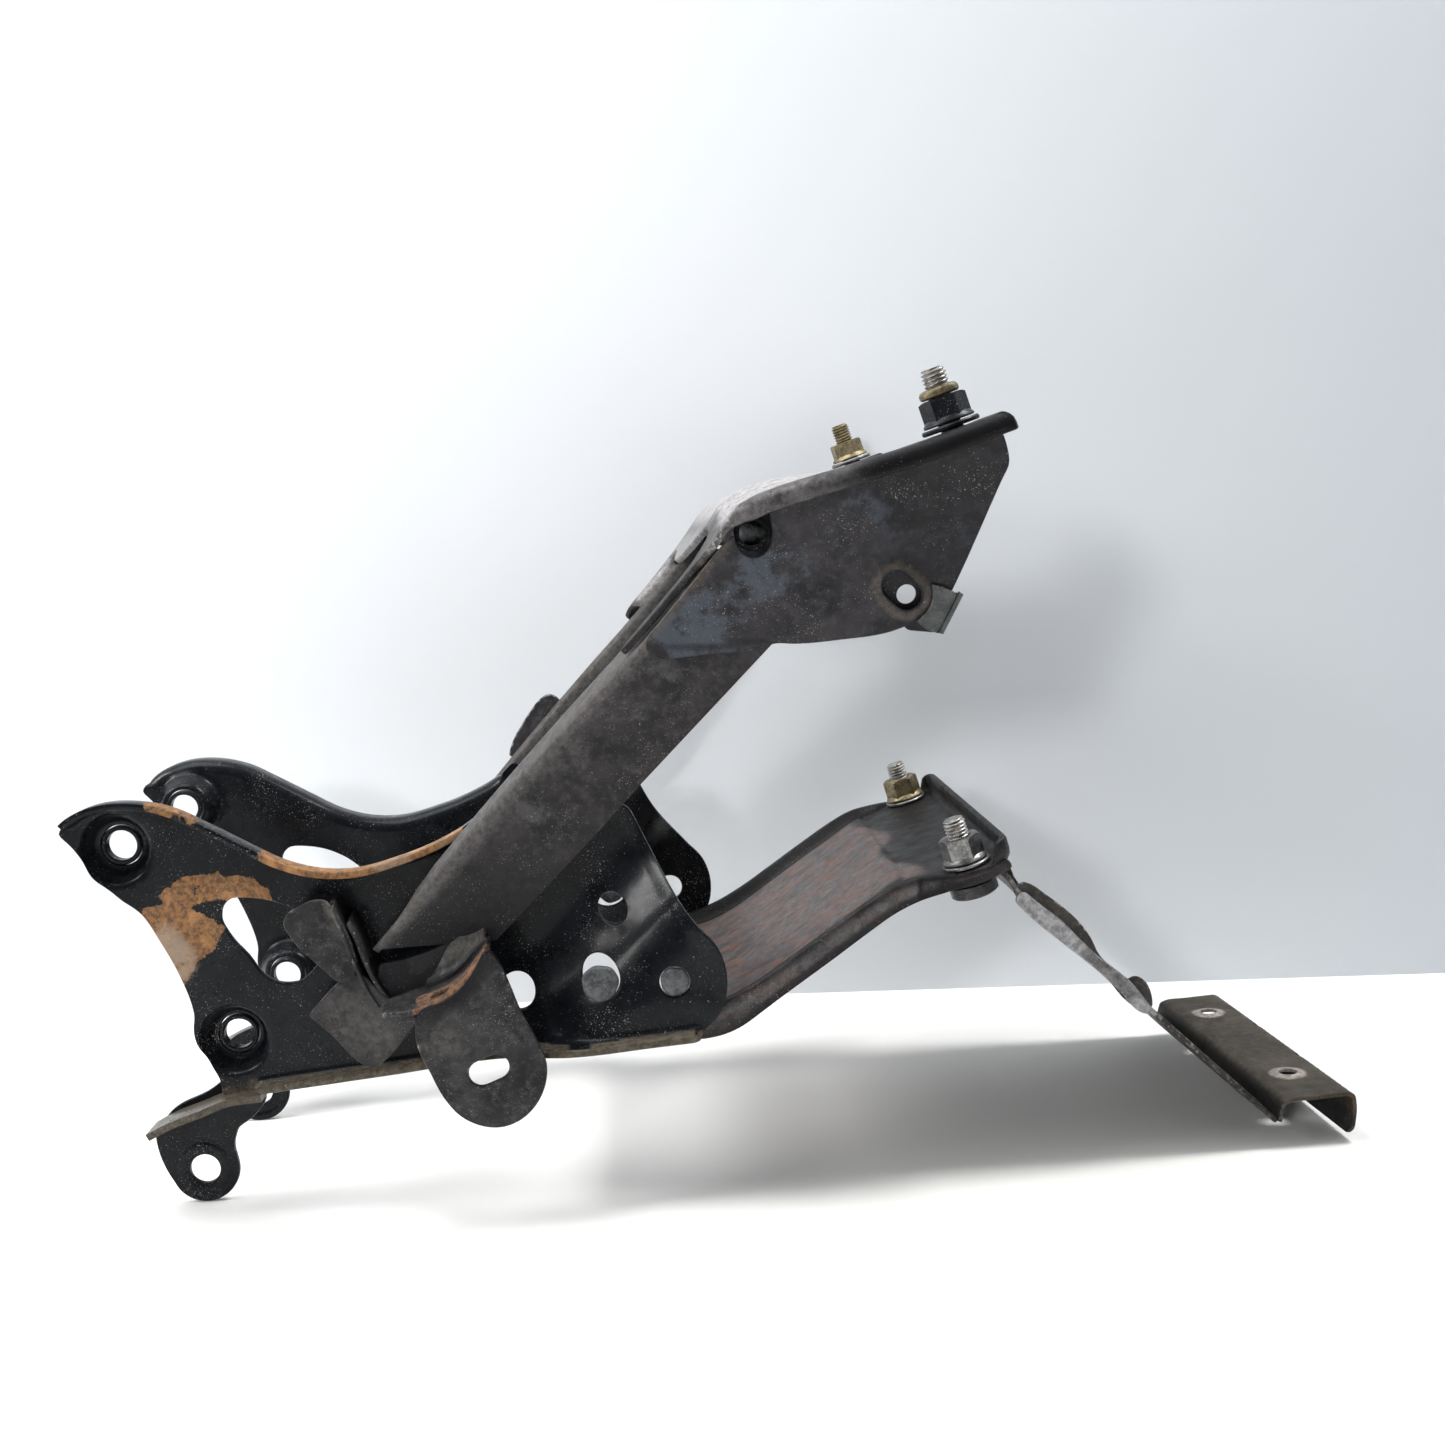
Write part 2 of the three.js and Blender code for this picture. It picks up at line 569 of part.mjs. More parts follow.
pair('side_plate', sidePlate(), BLACK);
pair('upper_sleeve', sleeve(UPPER_BOSS), BLACK);
pair('middle_sleeve', sleeve(MIDDLE_BOSS), BLACK);
pair('lower_ear', lowerEar(), BLACK);
pair('front_plug_weld', plugWeld(FRONT_WELD), BLACK);
put('rear_plug_weld_left', mirrorY(plugWeld(REAR_WELD)), BLACK);
pair('arm', arm(), WORN);
pair('gusset', gusset(), WORN);
pair('clip_nut', clipNut(), GREY);
put('top_bridge', topBridge(), GREY);
put('cross_tube', crossTube(), BLACK);
put('rear_tray', rearTray(), GREY);
for (const side of [-1, 1]) putFasteners(side);
put('arm_bracket_left', mirrorY(armBracket()), WORN);
put('hanging_tab_left', mirrorY(hangingTab()), WORN);
put('arm_clip_right', armClip(), WORN);
put('rear_hanger', rearHanger(), GREY);
put('rear_cross_channel', crossChannel(), GREY);

// stand the carrier on the ground, origin at the centre of its footprint box
root.updateMatrixWorld(true);
const { min, max } = new THREE.Box3().setFromObject(root, true);
root.position.set(-(min.x + max.x) / 2, -(min.y + max.y) / 2, -min.z);
root.updateMatrixWorld(true);

export default root;
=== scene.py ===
import math

import bpy
import numpy as np
from mathutils import Matrix, Vector
from mathutils.geometry import delaunay_2d_cdt


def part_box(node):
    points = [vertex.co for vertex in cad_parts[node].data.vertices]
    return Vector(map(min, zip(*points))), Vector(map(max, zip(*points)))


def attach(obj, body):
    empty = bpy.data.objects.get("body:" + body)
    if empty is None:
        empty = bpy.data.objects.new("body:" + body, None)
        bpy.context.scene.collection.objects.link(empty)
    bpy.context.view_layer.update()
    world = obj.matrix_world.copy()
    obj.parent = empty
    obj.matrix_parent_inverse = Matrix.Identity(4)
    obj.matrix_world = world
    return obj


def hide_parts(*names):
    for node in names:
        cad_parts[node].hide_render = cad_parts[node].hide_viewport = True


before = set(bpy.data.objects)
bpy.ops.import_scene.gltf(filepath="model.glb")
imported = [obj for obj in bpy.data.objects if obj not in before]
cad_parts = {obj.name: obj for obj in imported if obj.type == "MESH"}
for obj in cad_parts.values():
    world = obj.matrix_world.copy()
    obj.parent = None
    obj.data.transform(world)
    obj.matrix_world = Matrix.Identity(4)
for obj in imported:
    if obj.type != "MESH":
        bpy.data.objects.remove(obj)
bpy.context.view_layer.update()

# ------------------------------------------------------------------ shared dimensions (design frame, mm)
T = 2.6
WEB_IN = 45.2
BOSS_W = 37.2
BOLT_R = 5.5
UPPER_BOSS = (0.0, 135.5)
MIDDLE_BOSS = (39.4, 64.7)
EAR_HOLE = (25.4, 13.4)
TRAY_HALF = 72.4
PAD_HALF = 75.5
U_STUD = (284.5, 279.4, 120.0, 20.0)
L_STUD = (303.0, 130.84, 66.0, 18.0)
TILT = math.radians(3.3)
CT, ST = math.cos(TILT), math.sin(TILT)
_lo, _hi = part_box("cross_tube")
_c = (_lo + _hi) / 2 * 1000
TX = _c.x - (CT * 223 + ST * 247.6)
TZ = _c.z - (-ST * 223 + CT * 247.6)


def to_row(p):
    p = np.asarray(p, float)
    return np.stack([CT * p[..., 0] + ST * p[..., 2] + TX, p[..., 1], -ST * p[..., 0] + CT * p[..., 2] + TZ], -1) / 1000


def rot_row(v):
    return np.array([CT * v[0] + ST * v[2], v[1], -ST * v[0] + CT * v[2]])


def arm_out(z):
    return 60 + 0.3986 * (z - 100)


def arm_in(z):
    return np.maximum(57 + 0.3 * (z - 118), 57)


def gusset_out(z):
    return arm_out(z) + 2.9


def bridge_out(z):
    return gusset_out(z) + 2.6


def sstep(e0, e1, x):
    t = np.clip((x - e0) / (e1 - e0), 0, 1)
    return t * t * (3 - 2 * t)


# ------------------------------------------------------------------ curves
def unit(v):
    return v / max(np.linalg.norm(v), 1e-12)


def smooth_line(poly, step=1.4, closed=True, corner=34.0, soft=1.0):
    """Dense line through the points: gentle turns become curves, sharp ones stay as softened corners."""
    p = np.array(poly, float)
    n = len(p)
    segs = n if closed else n - 1

    def tangent(i):
        if not closed and (i == 0 or i == n - 1):
            return None
        a, b = p[i] - p[i - 1], p[(i + 1) % n] - p[i]
        la, lb = np.linalg.norm(a), np.linalg.norm(b)
        ua, ub = a / la, b / lb
        if math.degrees(math.acos(max(-1, min(1, float(ua @ ub))))) > corner:
            return None
        return unit(ua * lb + ub * la)

    out = []
    for i in range(segs):
        a, b = p[i], p[(i + 1) % n]
        ln = np.linalg.norm(b - a)
        d = (b - a) / ln
        m1, m2 = tangent(i), tangent((i + 1) % n)
        m1 = d if m1 is None else m1
        m2 = d if m2 is None else m2
        k = max(1, int(round(ln / step)))
        for j in range(k):
            t = j / k
            out.append((2 * t**3 - 3 * t**2 + 1) * a + (t**3 - 2 * t**2 + t) * ln * m1 + (-2 * t**3 + 3 * t**2) * b + (t**3 - t**2) * ln * m2)
    if not closed:
        out.append(p[-1])
    q = resample(np.array(out), step, closed)
    if soft > 0:
        s = soft / step
        r = max(1, int(3 * s))
        w = np.exp(-0.5 * (np.arange(-r, r + 1) / s) ** 2)
        w /= w.sum()
        if closed:
            q = sum(w[k + r] * np.roll(q, -k, axis=0) for k in range(-r, r + 1))
        else:
            pad = np.concatenate([2 * q[0] - q[r:0:-1], q, 2 * q[-1] - q[-2 : -r - 2 : -1]])
            q = sum(w[k + r] * pad[k + r : k + r + len(q)] for k in range(-r, r + 1))
    return q


def resample(q, step, closed=True):
    q = np.asarray(q, float)
    if closed:
        q = np.concatenate([q, q[:1]])
    d = np.r_[0, np.cumsum(np.linalg.norm(np.diff(q, axis=0), axis=1))]
    n = max(3, int(round(d[-1] / step)))
    t = np.linspace(0, d[-1], n + 1)
    if closed:
        t = t[:-1]
    return np.stack([np.interp(t, d, q[:, k]) for k in range(q.shape[1])], 1)


def circle(cx, cz, r, n=40):
    a = np.arange(n) / n * 2 * math.pi
    return np.stack([cx + r * np.cos(a), cz + r * np.sin(a)], 1)


def slot_loop(cx, cz, half, r, ang, n=12):
    out = []
    for s in (1, -1):
        for i in range(n + 1):
            t = ang + (-math.pi / 2 if s == 1 else math.pi / 2) + i / n * math.pi
            out.append([cx + s * half * math.cos(ang) + r * math.cos(t), cz + s * half * math.sin(ang) + r * math.sin(t)])
    return resample(np.array(out), 1.2)


def area2(p):
    return float(np.sum(p[:, 0] * np.roll(p[:, 1], -1) - np.roll(p[:, 0], -1) * p[:, 1]))


def dist_line(pts, line, closed=False):
    """Distance from each 2-D point to a polyline."""
    line = np.asarray(line, float)
    a = line if closed else line[:-1]
    b = np.roll(line, -1, axis=0) if closed else line[1:]
    out = np.full(len(pts), 1e9)
    for i in range(0, len(pts), 4000):
        p = pts[i : i + 4000, None, :]
        ab = b - a
        t = np.clip(((p - a) * ab).sum(2) / np.maximum((ab * ab).sum(1), 1e-12), 0, 1)
        c = a + t[..., None] * ab
        out[i : i + 4000] = np.sqrt(((p - c) ** 2).sum(2)).min(1)
    return out


def inside(pts, loops):
    """Even-odd test against a list of closed loops."""
    odd = np.zeros(len(pts), bool)
    for lp in loops:
        a, b = lp, np.roll(lp, -1, axis=0)
        for i in range(0, len(pts), 4000):
            p = pts[i : i + 4000]
            cond = (a[None, :, 1] > p[:, None, 1]) != (b[None, :, 1] > p[:, None, 1])
            with np.errstate(divide="ignore", invalid="ignore"):
                x = (b[:, 0] - a[:, 0]) * (p[:, None, 1] - a[:, 1]) / (b[:, 1] - a[:, 1]) + a[:, 0]
            odd[i : i + 4000] ^= (np.sum(cond & (p[:, None, 0] < x), axis=1) % 2).astype(bool)
    return odd


# ------------------------------------------------------------------ meshes
def signed_volume(v, faces):
    tot = 0.0
    for f in faces:
        a = v[f[0]]
        for k in range(1, len(f) - 1):
            tot += np.dot(a, np.cross(v[f[k]], v[f[k + 1]]))
    return tot / 6


def volume_np(v, tris):
    return float(np.einsum("ij,ij->i", v[tris[:, 0]], np.cross(v[tris[:, 1]], v[tris[:, 2]])).sum() / 6)


class Parts:
    """Collects closed shells in design millimetres, then makes one object."""

    def __init__(self):
        self.v, self.f, self.e, self.n = [], [], [], 0

    def add(self, v, faces, edge=None):
        v = np.asarray(v, float)
        tris = []
        for f in faces:
            for k in range(1, len(f) - 1):
                tris.append((f[0], f[k], f[k + 1]))
        if volume_np(v, np.array(tris)) < 0:
            faces = [tuple(reversed(f)) for f in faces]
        self.f += [tuple(i + self.n for i in f) for f in faces]
        self.v.append(v)
        self.e.append(np.zeros(len(v)) if edge is None else np.asarray(edge, float))
        self.n += len(v)
        return self

    def done(self, name, mat, nodes=(), body="carrier", slot=None, masks=None, sharp=38.0, mirror=False, bevel=0.0):
        v = np.concatenate(self.v)
        e = np.concatenate(self.e)
        faces = self.f
        if mirror:
            v = v * np.array([1, -1, 1])
            faces = [tuple(reversed(f)) for f in faces]
        me = bpy.data.meshes.new(name)
        me.from_pydata(to_row(v).tolist(), [], [tuple(int(i) for i in f) for f in faces])
        me.update()
        cols = {"edge": e}
        if masks:
            cols.update(masks(v))
        for key, val in cols.items():
            at = me.attributes.new(key, "FLOAT", "POINT")
            at.data.foreach_set("value", np.asarray(val, np.float32))
        me.shade_smooth()
        me.set_sharp_from_angle(angle=math.radians(sharp))
        me.materials.append(mat)
        o = bpy.data.objects.new(name, me)
        bpy.context.scene.collection.objects.link(o)
        if bevel > 0:
            m = o.modifiers.new("edges", "BEVEL")
            m.width = bevel / 1000
            m.segments = 2
            m.limit_method = "ANGLE"
            m.angle_limit = math.radians(50)
            m.use_clamp_overlap = True
        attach(o, body)
        if nodes:
            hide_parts(*nodes)
        return o


def sheet(outline, holes, t, fmap, re=0.5, grid=3.0, bump=None, flange=None, ri=2.0, feats=None, nc=5):
    """A stamped sheet over a 2-D outline. fmap(a, b, w) places it; w runs from 0 (back) to t (front).
    flange(points) gives (length, weight) of an edge turned up past the front face. bump(points) lifts both faces."""
    loops = [np.asarray(outline, float)] + [np.asarray(h, float) for h in holes]
    if area2(loops[0]) < 0:
        loops[0] = loops[0][::-1]
    for i in range(1, len(loops)):
        if area2(loops[i]) > 0:
            loops[i] = loops[i][::-1]
    R = ri + t
    rows_all, cdt_pts, cdt_edges, insets = [], [], [], []
    count = 0
    for li, lp in enumerate(loops):
        m = len(lp)
        tan = np.roll(lp, -1, axis=0) - np.roll(lp, 1, axis=0)
        tan /= np.linalg.norm(tan, axis=1)[:, None]
        nrm = np.stack([-tan[:, 1], tan[:, 0]], 1)
        if li == 0 and flange is not None:
            F, g = flange(lp)
        else:
            F, g = np.zeros(m), np.zeros(m)
        F = np.maximum(F, R + re + 0.2)
        a = (re + 0.12) * (1 - g) + (R + 0.5) * g
        th = np.linspace(0, math.pi / 2, nc)
        q3 = np.linspace(0, math.pi / 2, 3)
        rim, fl = [], []
        rim.append((a, np.full(m, t)))
        fl.append((a, np.full(m, t)))
        for k in range(nc):
            u = (k + 1) / (nc + 1)
            rim.append((a * (1 - u) + re * u, np.full(m, t)))
            fl.append((np.full(m, R - ri * math.sin(th[k])), np.full(m, R - ri * math.cos(th[k]))))
        for q in q3:
            rim.append((np.full(m, re - re * math.sin(q)), np.full(m, t - re + re * math.cos(q))))
            fl.append((np.full(m, t - re + re * math.cos(q)), F - re + re * math.sin(q)))
        for q in q3:
            rim.append((np.full(m, re - re * math.cos(q)), np.full(m, re - re * math.sin(q))))
            fl.append((np.full(m, re - re * math.sin(q)), F - re + re * math.cos(q)))
        for k in range(nc):
            u = (k + 1) / (nc + 1)
            rim.append((re * (1 - u) + a * u, np.zeros(m)))
            fl.append((np.full(m, R - R * math.cos(th[k])), np.full(m, R - R * math.sin(th[k]))))
        rim.append((a, np.zeros(m)))
        fl.append((a, np.zeros(m)))
        rows = []
        for (ra, rw), (fa, fw) in zip(rim, fl):
            ins, w = ra * (1 - g) + fa * g, rw * (1 - g) + fw * g
            rows.append((lp + nrm * ins[:, None], w))
        rows_all.append(rows)
        inner = lp + nrm * a[:, None]
        insets.append(inner)
        cdt_pts += inner.tolist()
        cdt_edges += [(count + i, count + (i + 1) % m) for i in range(m)]
        count += m
    lo, hi = loops[0].min(0), loops[0].max(0)
    xs = np.arange(lo[0], hi[0], grid)
    zs = np.arange(lo[1], hi[1], grid * 0.866)
    gx, gz = np.meshgrid(xs, zs)
    gx = gx + (np.arange(len(zs)) % 2)[:, None] * grid / 2
    pts = np.stack([gx.ravel(), gz.ravel()], 1)
    extra = np.concatenate(feats) if feats else np.zeros((0, 2))
    near = np.concatenate(insets)

    def clear(p, d):
        keep = inside(p, insets)
        p = p[keep]
        if not len(p):
            return p
        far = np.ones(len(p), bool)
        for i in range(0, len(p), 2000):
            far[i : i + 2000] = (((p[i : i + 2000, None, :] - near[None]) ** 2).sum(2).min(1)) > d * d
        return p[far]

    if len(extra):
        extra = clear(extra, 0.35)
        pts = clear(pts, grid * 0.5)
        d = np.ones(len(pts), bool)
        for i in range(0, len(pts), 2000):
            d[i : i + 2000] = (((pts[i : i + 2000, None, :] - extra[None]) ** 2).sum(2).min(1)) > (grid * 0.45) ** 2
        pts = np.concatenate([pts[d], extra])
    else:
        pts = clear(pts, grid * 0.5)
    allp = [Vector(p) for p in cdt_pts] + [Vector(p) for p in pts.tolist()]
    res = delaunay_2d_cdt(allp, cdt_edges, [], 0, 1e-5, True)
    ov = np.array([list(p) for p in res[0]], float)
    tri = np.array([f for f in res[2] if len(f) == 3], int)
    cen = ov[tri].mean(1)
    tri = tri[inside(cen, insets)]
    a0, b0, c0 = ov[tri[:, 0]], ov[tri[:, 1]], ov[tri[:, 2]]
    cr = (b0[:, 0] - a0[:, 0]) * (c0[:, 1] - a0[:, 1]) - (b0[:, 1] - a0[:, 1]) * (c0[:, 0] - a0[:, 0])
    tri = tri[np.abs(cr) > 1e-7]
    cr = cr[np.abs(cr) > 1e-7]
    tri[cr < 0] = tri[cr < 0][:, ::-1]
    back_of = {}
    for oi, src in enumerate(res[3]):
        for s in src:
            back_of[s] = oi
    nv = len(ov)
    lift = (lambda p: np.zeros(len(p))) if bump is None else bump
    P2 = [ov, ov]
    Wv = [np.full(nv, t), np.zeros(nv)]
    E = [np.zeros(nv), np.zeros(nv)]
    faces = [tuple(f) for f in tri] + [tuple(f[::-1] + nv) for f in tri]
    base = 2 * nv
    start = 0
    edge_val = [0.0] + [0.35] * nc + [0.9, 1, 1] + [1, 1, 0.9] + [0.5] * nc + [0.0]
    for rows in rows_all:
        m = len(rows[0][0])
        K = len(rows)
        ids = []
        for k, (p, w) in enumerate(rows):
            if k == 0:
                ids.append([back_of[start + i] for i in range(m)])
            elif k == K - 1:
                ids.append([back_of[start + i] + nv for i in range(m)])
            else:
                P2.append(p)
                Wv.append(w)
                E.append(np.full(m, edge_val[k] if k < len(edge_val) else 0))
                ids.append(list(range(base, base + m)))
                base += m
        for k in range(K - 1):
            for i in range(m):
                j = (i + 1) % m
                faces.append((ids[k][i], ids[k + 1][i], ids[k + 1][j], ids[k][j]))
        start += m
    P = np.concatenate(P2)
    w = np.concatenate(Wv) + lift(P)
    return fmap(P[:, 0], P[:, 1], w), faces, np.concatenate(E)


def grid_shell(S, t, flip=False):
    """S is a (rows, cols, 3) outer surface; returns a closed shell of thickness t behind it."""
    S = np.asarray(S, float)
    du = np.gradient(S, axis=0)
    dv = np.gradient(S, axis=1)
    n = np.cross(du, dv)
    n /= np.maximum(np.linalg.norm(n, axis=2), 1e-9)[..., None]
    if flip:
        n = -n
    I = S - n * t
    r, c = S.shape[:2]
    v = np.concatenate([S.reshape(-1, 3), I.reshape(-1, 3)])
    o = r * c
    f = []
    for i in range(r - 1):
        for j in range(c - 1):
            a, b, d, e = i * c + j, (i + 1) * c + j, (i + 1) * c + j + 1, i * c + j + 1
            f.append((a, b, d, e))
            f.append((a + o, e + o, d + o, b + o))
    for j in range(c - 1):
        f.append((j, j + 1, j + 1 + o, j + o))
        a = (r - 1) * c + j
        f.append((a, a + o, a + 1 + o, a + 1))
    for i in range(r - 1):
        a, b = i * c, (i + 1) * c
        f.append((a, a + o, b + o, b))
        a, b = i * c + c - 1, (i + 1) * c + c - 1
        f.append((a, b, b + o, a + o))
    return v, f


def fillet_path(pts, radii, counts, arc=6):
    """Section through pts with round corners; counts gives the points on each straight, so all sections match."""
    pts = [np.asarray(p, float) for p in pts]
    ends = [pts[0]]
    arcs = []
    for i in range(1, len(pts) - 1):
        b = pts[i]
        u, v = pts[i - 1] - b, pts[i + 1] - b
        lu, lv = np.linalg.norm(u), np.linalg.norm(v)
        u, v = u / max(lu, 1e-9), v / max(lv, 1e-9)
        phi = math.acos(max(-1, min(1, float(u @ v))))
        r = radii[i - 1]
        d = r / math.tan(phi / 2)
        lim = 0.46 * min(lu, lv)
        if d > lim:
            d = lim
            r = d * math.tan(phi / 2)
        p1, p2 = b + u * d, b + v * d
        bis = unit(u + v)
        c = b + bis * (r / math.sin(phi / 2))
        e1, e2 = p1 - c, p2 - c
        om = math.pi - phi
        arcs.append([c + (math.sin((1 - s) * om) * e1 + math.sin(s * om) * e2) / max(math.sin(om), 1e-6) for s in np.linspace(0, 1, arc)])
    out = []
    cur = pts[0]
    for i, a in enumerate(arcs):
        k = counts[i]
        out += [cur + (a[0] - cur) * (j / k) for j in range(k)]
        out += a[:-1]
        cur = a[-1]
    k = counts[len(arcs)]
    out += [cur + (pts[-1] - cur) * (j / k) for j in range(k + 1)]
    return np.array(out)


def lathe(profile, n=64, fn=None):
    """Closed profile of (r, h) pairs spun round +Z; fn(theta, r, h) may change r."""
    pr = np.array(profile, float)
    th = np.arange(n) / n * 2 * math.pi
    v = []
    for r, h in pr:
        rr = np.full(n, r) if fn is None else fn(th, r, h)
        v.append(np.stack([rr * np.cos(th), rr * np.sin(th), np.full(n, h)], 1))
    v = np.concatenate(v)
    f = []
    m = len(pr)
    for k in range(m):
        q = (k + 1) % m
        for i in range(n):
            j = (i + 1) % n
            f.append((k * n + i, k * n + j, q * n + j, q * n + i))
    return v, f


def placed(v, axis_point, tilt_deg, spin=0.0):
    """Local +Z along a stud leaning towards the front by tilt_deg."""
    a = math.radians(tilt_deg)
    c, s = math.cos(spin), math.sin(spin)
    x, y, z = v[:, 0] * c - v[:, 1] * s, v[:, 0] * s + v[:, 1] * c, v[:, 2]
    return np.stack([axis_point[0] + x * math.cos(a) - z * math.sin(a), axis_point[1] + y, axis_point[2] + x * math.sin(a) + z * math.cos(a)], 1)


# ------------------------------------------------------------------ materials
def steel(name, base, dark, rough=(0.35, 0.6), metal=0.0, bare=(0.4, 0.38, 0.36), chips=0.0, edge_gain=0.35, rust=0.15, rust_cols=((0.23, 0.085, 0.025), (0.07, 0.03, 0.015)),
          dust=0.1, dust_col=(0.5, 0.48, 0.45), mottle=0.5, mottle_scale=90.0, coat=0.0, bump=0.25, scratch=0.2, spots=0.0, spot_col=(0.3, 0.33, 0.38), streak=0.0, streak_col=(0.2, 0.1, 0.06), fine=1.0, tan_and_highlight_col=(0.12, 0.1, 0.075), shade_col=(0.01, 0.01, 0.012), spec=0.24, pale_col=(0.32, 0.25, 0.19), coat_rough=0.14):
    m = bpy.data.materials.new(name)
    m.use_nodes = True
    nt = m.node_tree
    N, L = nt.nodes, nt.links
    N.clear()
    out = N.new("ShaderNodeOutputMaterial")
    bs = N.new("ShaderNodeBsdfPrincipled")
    L.new(bs.outputs[0], out.inputs[0])
    tc = N.new("ShaderNodeTexCoord").outputs["Object"]

    def noise(scale, detail=8.0, rough_=0.6, dist=0.0, vec=None):
        n = N.new("ShaderNodeTexNoise")
        n.inputs["Scale"].default_value = scale
        n.inputs["Detail"].default_value = detail
        n.inputs["Roughness"].default_value = rough_
        n.inputs["Distortion"].default_value = dist
        L.new(tc if vec is None else vec, n.inputs["Vector"])
        return n.outputs["Fac"]

    def math_(op, a, b=None, clamp=False):
        n = N.new("ShaderNodeMath")
        n.operation = op
        n.use_clamp = clamp
        for i, x in enumerate((a, b)):
            if x is None:
                continue
            if isinstance(x, (int, float)):
                n.inputs[i].default_value = x
            else:
                L.new(x, n.inputs[i])
        return n.outputs[0]

    def ramp(x, lo, hi, smooth=True):
        n = N.new("ShaderNodeMapRange")
        n.interpolation_type = "SMOOTHSTEP" if smooth else "LINEAR"
        n.clamp = True if hasattr(n, "clamp") else True
        L.new(x, n.inputs[0])
        n.inputs[1].default_value, n.inputs[2].default_value = lo, hi
        n.inputs[3].default_value, n.inputs[4].default_value = 0.0, 1.0
        return n.outputs[0]

    def mix(f, a, b):
        n = N.new("ShaderNodeMix")
        n.data_type = "RGBA"
        for i, x in ((0, f), (6, a), (7, b)):
            if isinstance(x, (int, float)):
                n.inputs[i].default_value = x
            elif isinstance(x, (tuple, list)):
                n.inputs[i].default_value = (*x[:3], 1)
            else:
                L.new(x, n.inputs[i])
        return n.outputs[2]

    def attr(key):
        n = N.new("ShaderNodeAttribute")
        n.attribute_name = key
        return n.outputs["Fac"]

    def stretched(sx, sy, sz):
        n = N.new("ShaderNodeMapping")
        n.inputs["Scale"].default_value = (sx, sy, sz)
        n.inputs["Rotation"].default_value = (0, math.radians(-40), 0)
        L.new(tc, n.inputs["Vector"])
        return n.outputs[0]

    big = noise(mottle_scale, 9, 0.62, 0.4)
    med = noise(mottle_scale * 4.5, 6, 0.65, 0.2)
    tiny = noise(1900, 3, 0.6)
    col = mix(ramp(big, 0.35, 0.68), dark, base)
    col = mix(math_("MULTIPLY", ramp(med, 0.45, 0.75), mottle), col, tuple(min(1, c * 1.7 + 0.003) for c in base))
    if spots > 0:
        area_ = noise(22, 3, 0.55, 0.0)
        sp = ramp(math_("ADD", noise(mottle_scale * 0.9, 10, 0.74, 0.1), math_("ADD", math_("MULTIPLY", area_, 0.4), math_("MULTIPLY", attr("panel"), 0.2))), 0.86 - 0.08 * spots, 1.0 - 0.08 * spots)
        col = mix(math_("MULTIPLY", sp, 0.7), col, spot_col)
        sp2 = ramp(noise(mottle_scale * 5.5, 6, 0.75, 0.0), 0.66, 0.78)
        col = mix(math_("MULTIPLY", sp2, 0.35), col, spot_col)
    # fine scratches
    sc = ramp(noise(1.0, 3, 0.6, 1.6, stretched(90, 900, 1150)), 0.66, 0.76)
    sc = math_("MULTIPLY", math_("MULTIPLY", sc, ramp(noise(48, 4, 0.6), 0.45, 0.7)), scratch * 0.8)
    col = mix(sc, col, bare)
    # bare metal at edges and worn areas
    w = math_("ADD", math_("MULTIPLY", attr("edge"), edge_gain), math_("MULTIPLY", attr("wear"), 0.5))
    w = math_("ADD", w, math_("ADD", math_("MULTIPLY", med, 0.55), math_("MULTIPLY", noise(700, 5, 0.7), 0.35)))
    chip = ramp(w, 0.86 - 0.28 * chips, 0.98 - 0.28 * chips)
    col = mix(math_("MULTIPLY", chip, 0.9), col, bare)
    # tan: the metal's own tan, bare or stained tone, plus a painted highlight wherever a mask marks a bend or band that
    # faces the light
    tf = math_("MULTIPLY", attr("tan"), ramp(math_("ADD", noise(210, 6, 0.7), math_("MULTIPLY", attr("tan"), 0.3)), 0.3, 0.62))
    tcol = mix(ramp(noise(420, 6, 0.7), 0.35, 0.65), tuple(c * 0.45 for c in tan_and_highlight_col), tan_and_highlight_col)
    col = mix(tf, col, tcol)
    if streak > 0:
        st = ramp(noise(1.0, 6, 0.65, 0.5, stretched(22, 240, 240)), 0.46, 0.66)
        st = math_("MULTIPLY", st, math_("ADD", 0.15, attr("panel")))
        col = mix(math_("MULTIPLY", st, streak), col, streak_col)
        st2 = ramp(noise(1.0, 5, 0.6, 0.3, stretched(12, 150, 150)), 0.47, 0.66)
        col = mix(math_("MULTIPLY", math_("MULTIPLY", st2, attr("panel")), 0.62), col, (0.042, 0.038, 0.039))
    # rust
    rn = noise(240, 9, 0.72, 0.7)
    rv = math_("ADD", math_("MULTIPLY", attr("rust"), 0.62), math_("ADD", math_("MULTIPLY", rn, 0.75), math_("MULTIPLY", attr("edge"), 0.06)))
    rmask = ramp(rv, 0.86 - 0.35 * rust, 0.93 - 0.3 * rust)
    rcol = mix(ramp(noise(520, 6, 0.7), 0.38, 0.62), rust_cols[1], rust_cols[0])
    rcol = mix(math_("MULTIPLY", ramp(noise(150, 4, 0.6), 0.5, 0.7), 0.5), rcol, tuple(min(1, c * 1.9) for c in rust_cols[0]))
    col = mix(rmask, col, rcol)
    pl = math_("MULTIPLY", attr("pale"), ramp(math_("ADD", noise(170, 7, 0.7), math_("MULTIPLY", attr("pale"), 0.2)), 0.5, 0.62))
    col = mix(pl, col, pale_col)
    shd = math_("MULTIPLY", attr("shade"), ramp(math_("ADD", noise(130, 6, 0.65), attr("shade")), 0.6, 0.95))
    col = mix(shd, col, shade_col)
    # dust specks
    dk = ramp(math_("ADD", tiny, math_("MULTIPLY", noise(60, 3, 0.5), 0.25)), 0.80 - 0.12 * dust, 0.86 - 0.12 * dust)
    col = mix(math_("MULTIPLY", dk, min(1.0, dust * 3)), col, dust_col)
    L.new(col, bs.inputs["Base Color"])
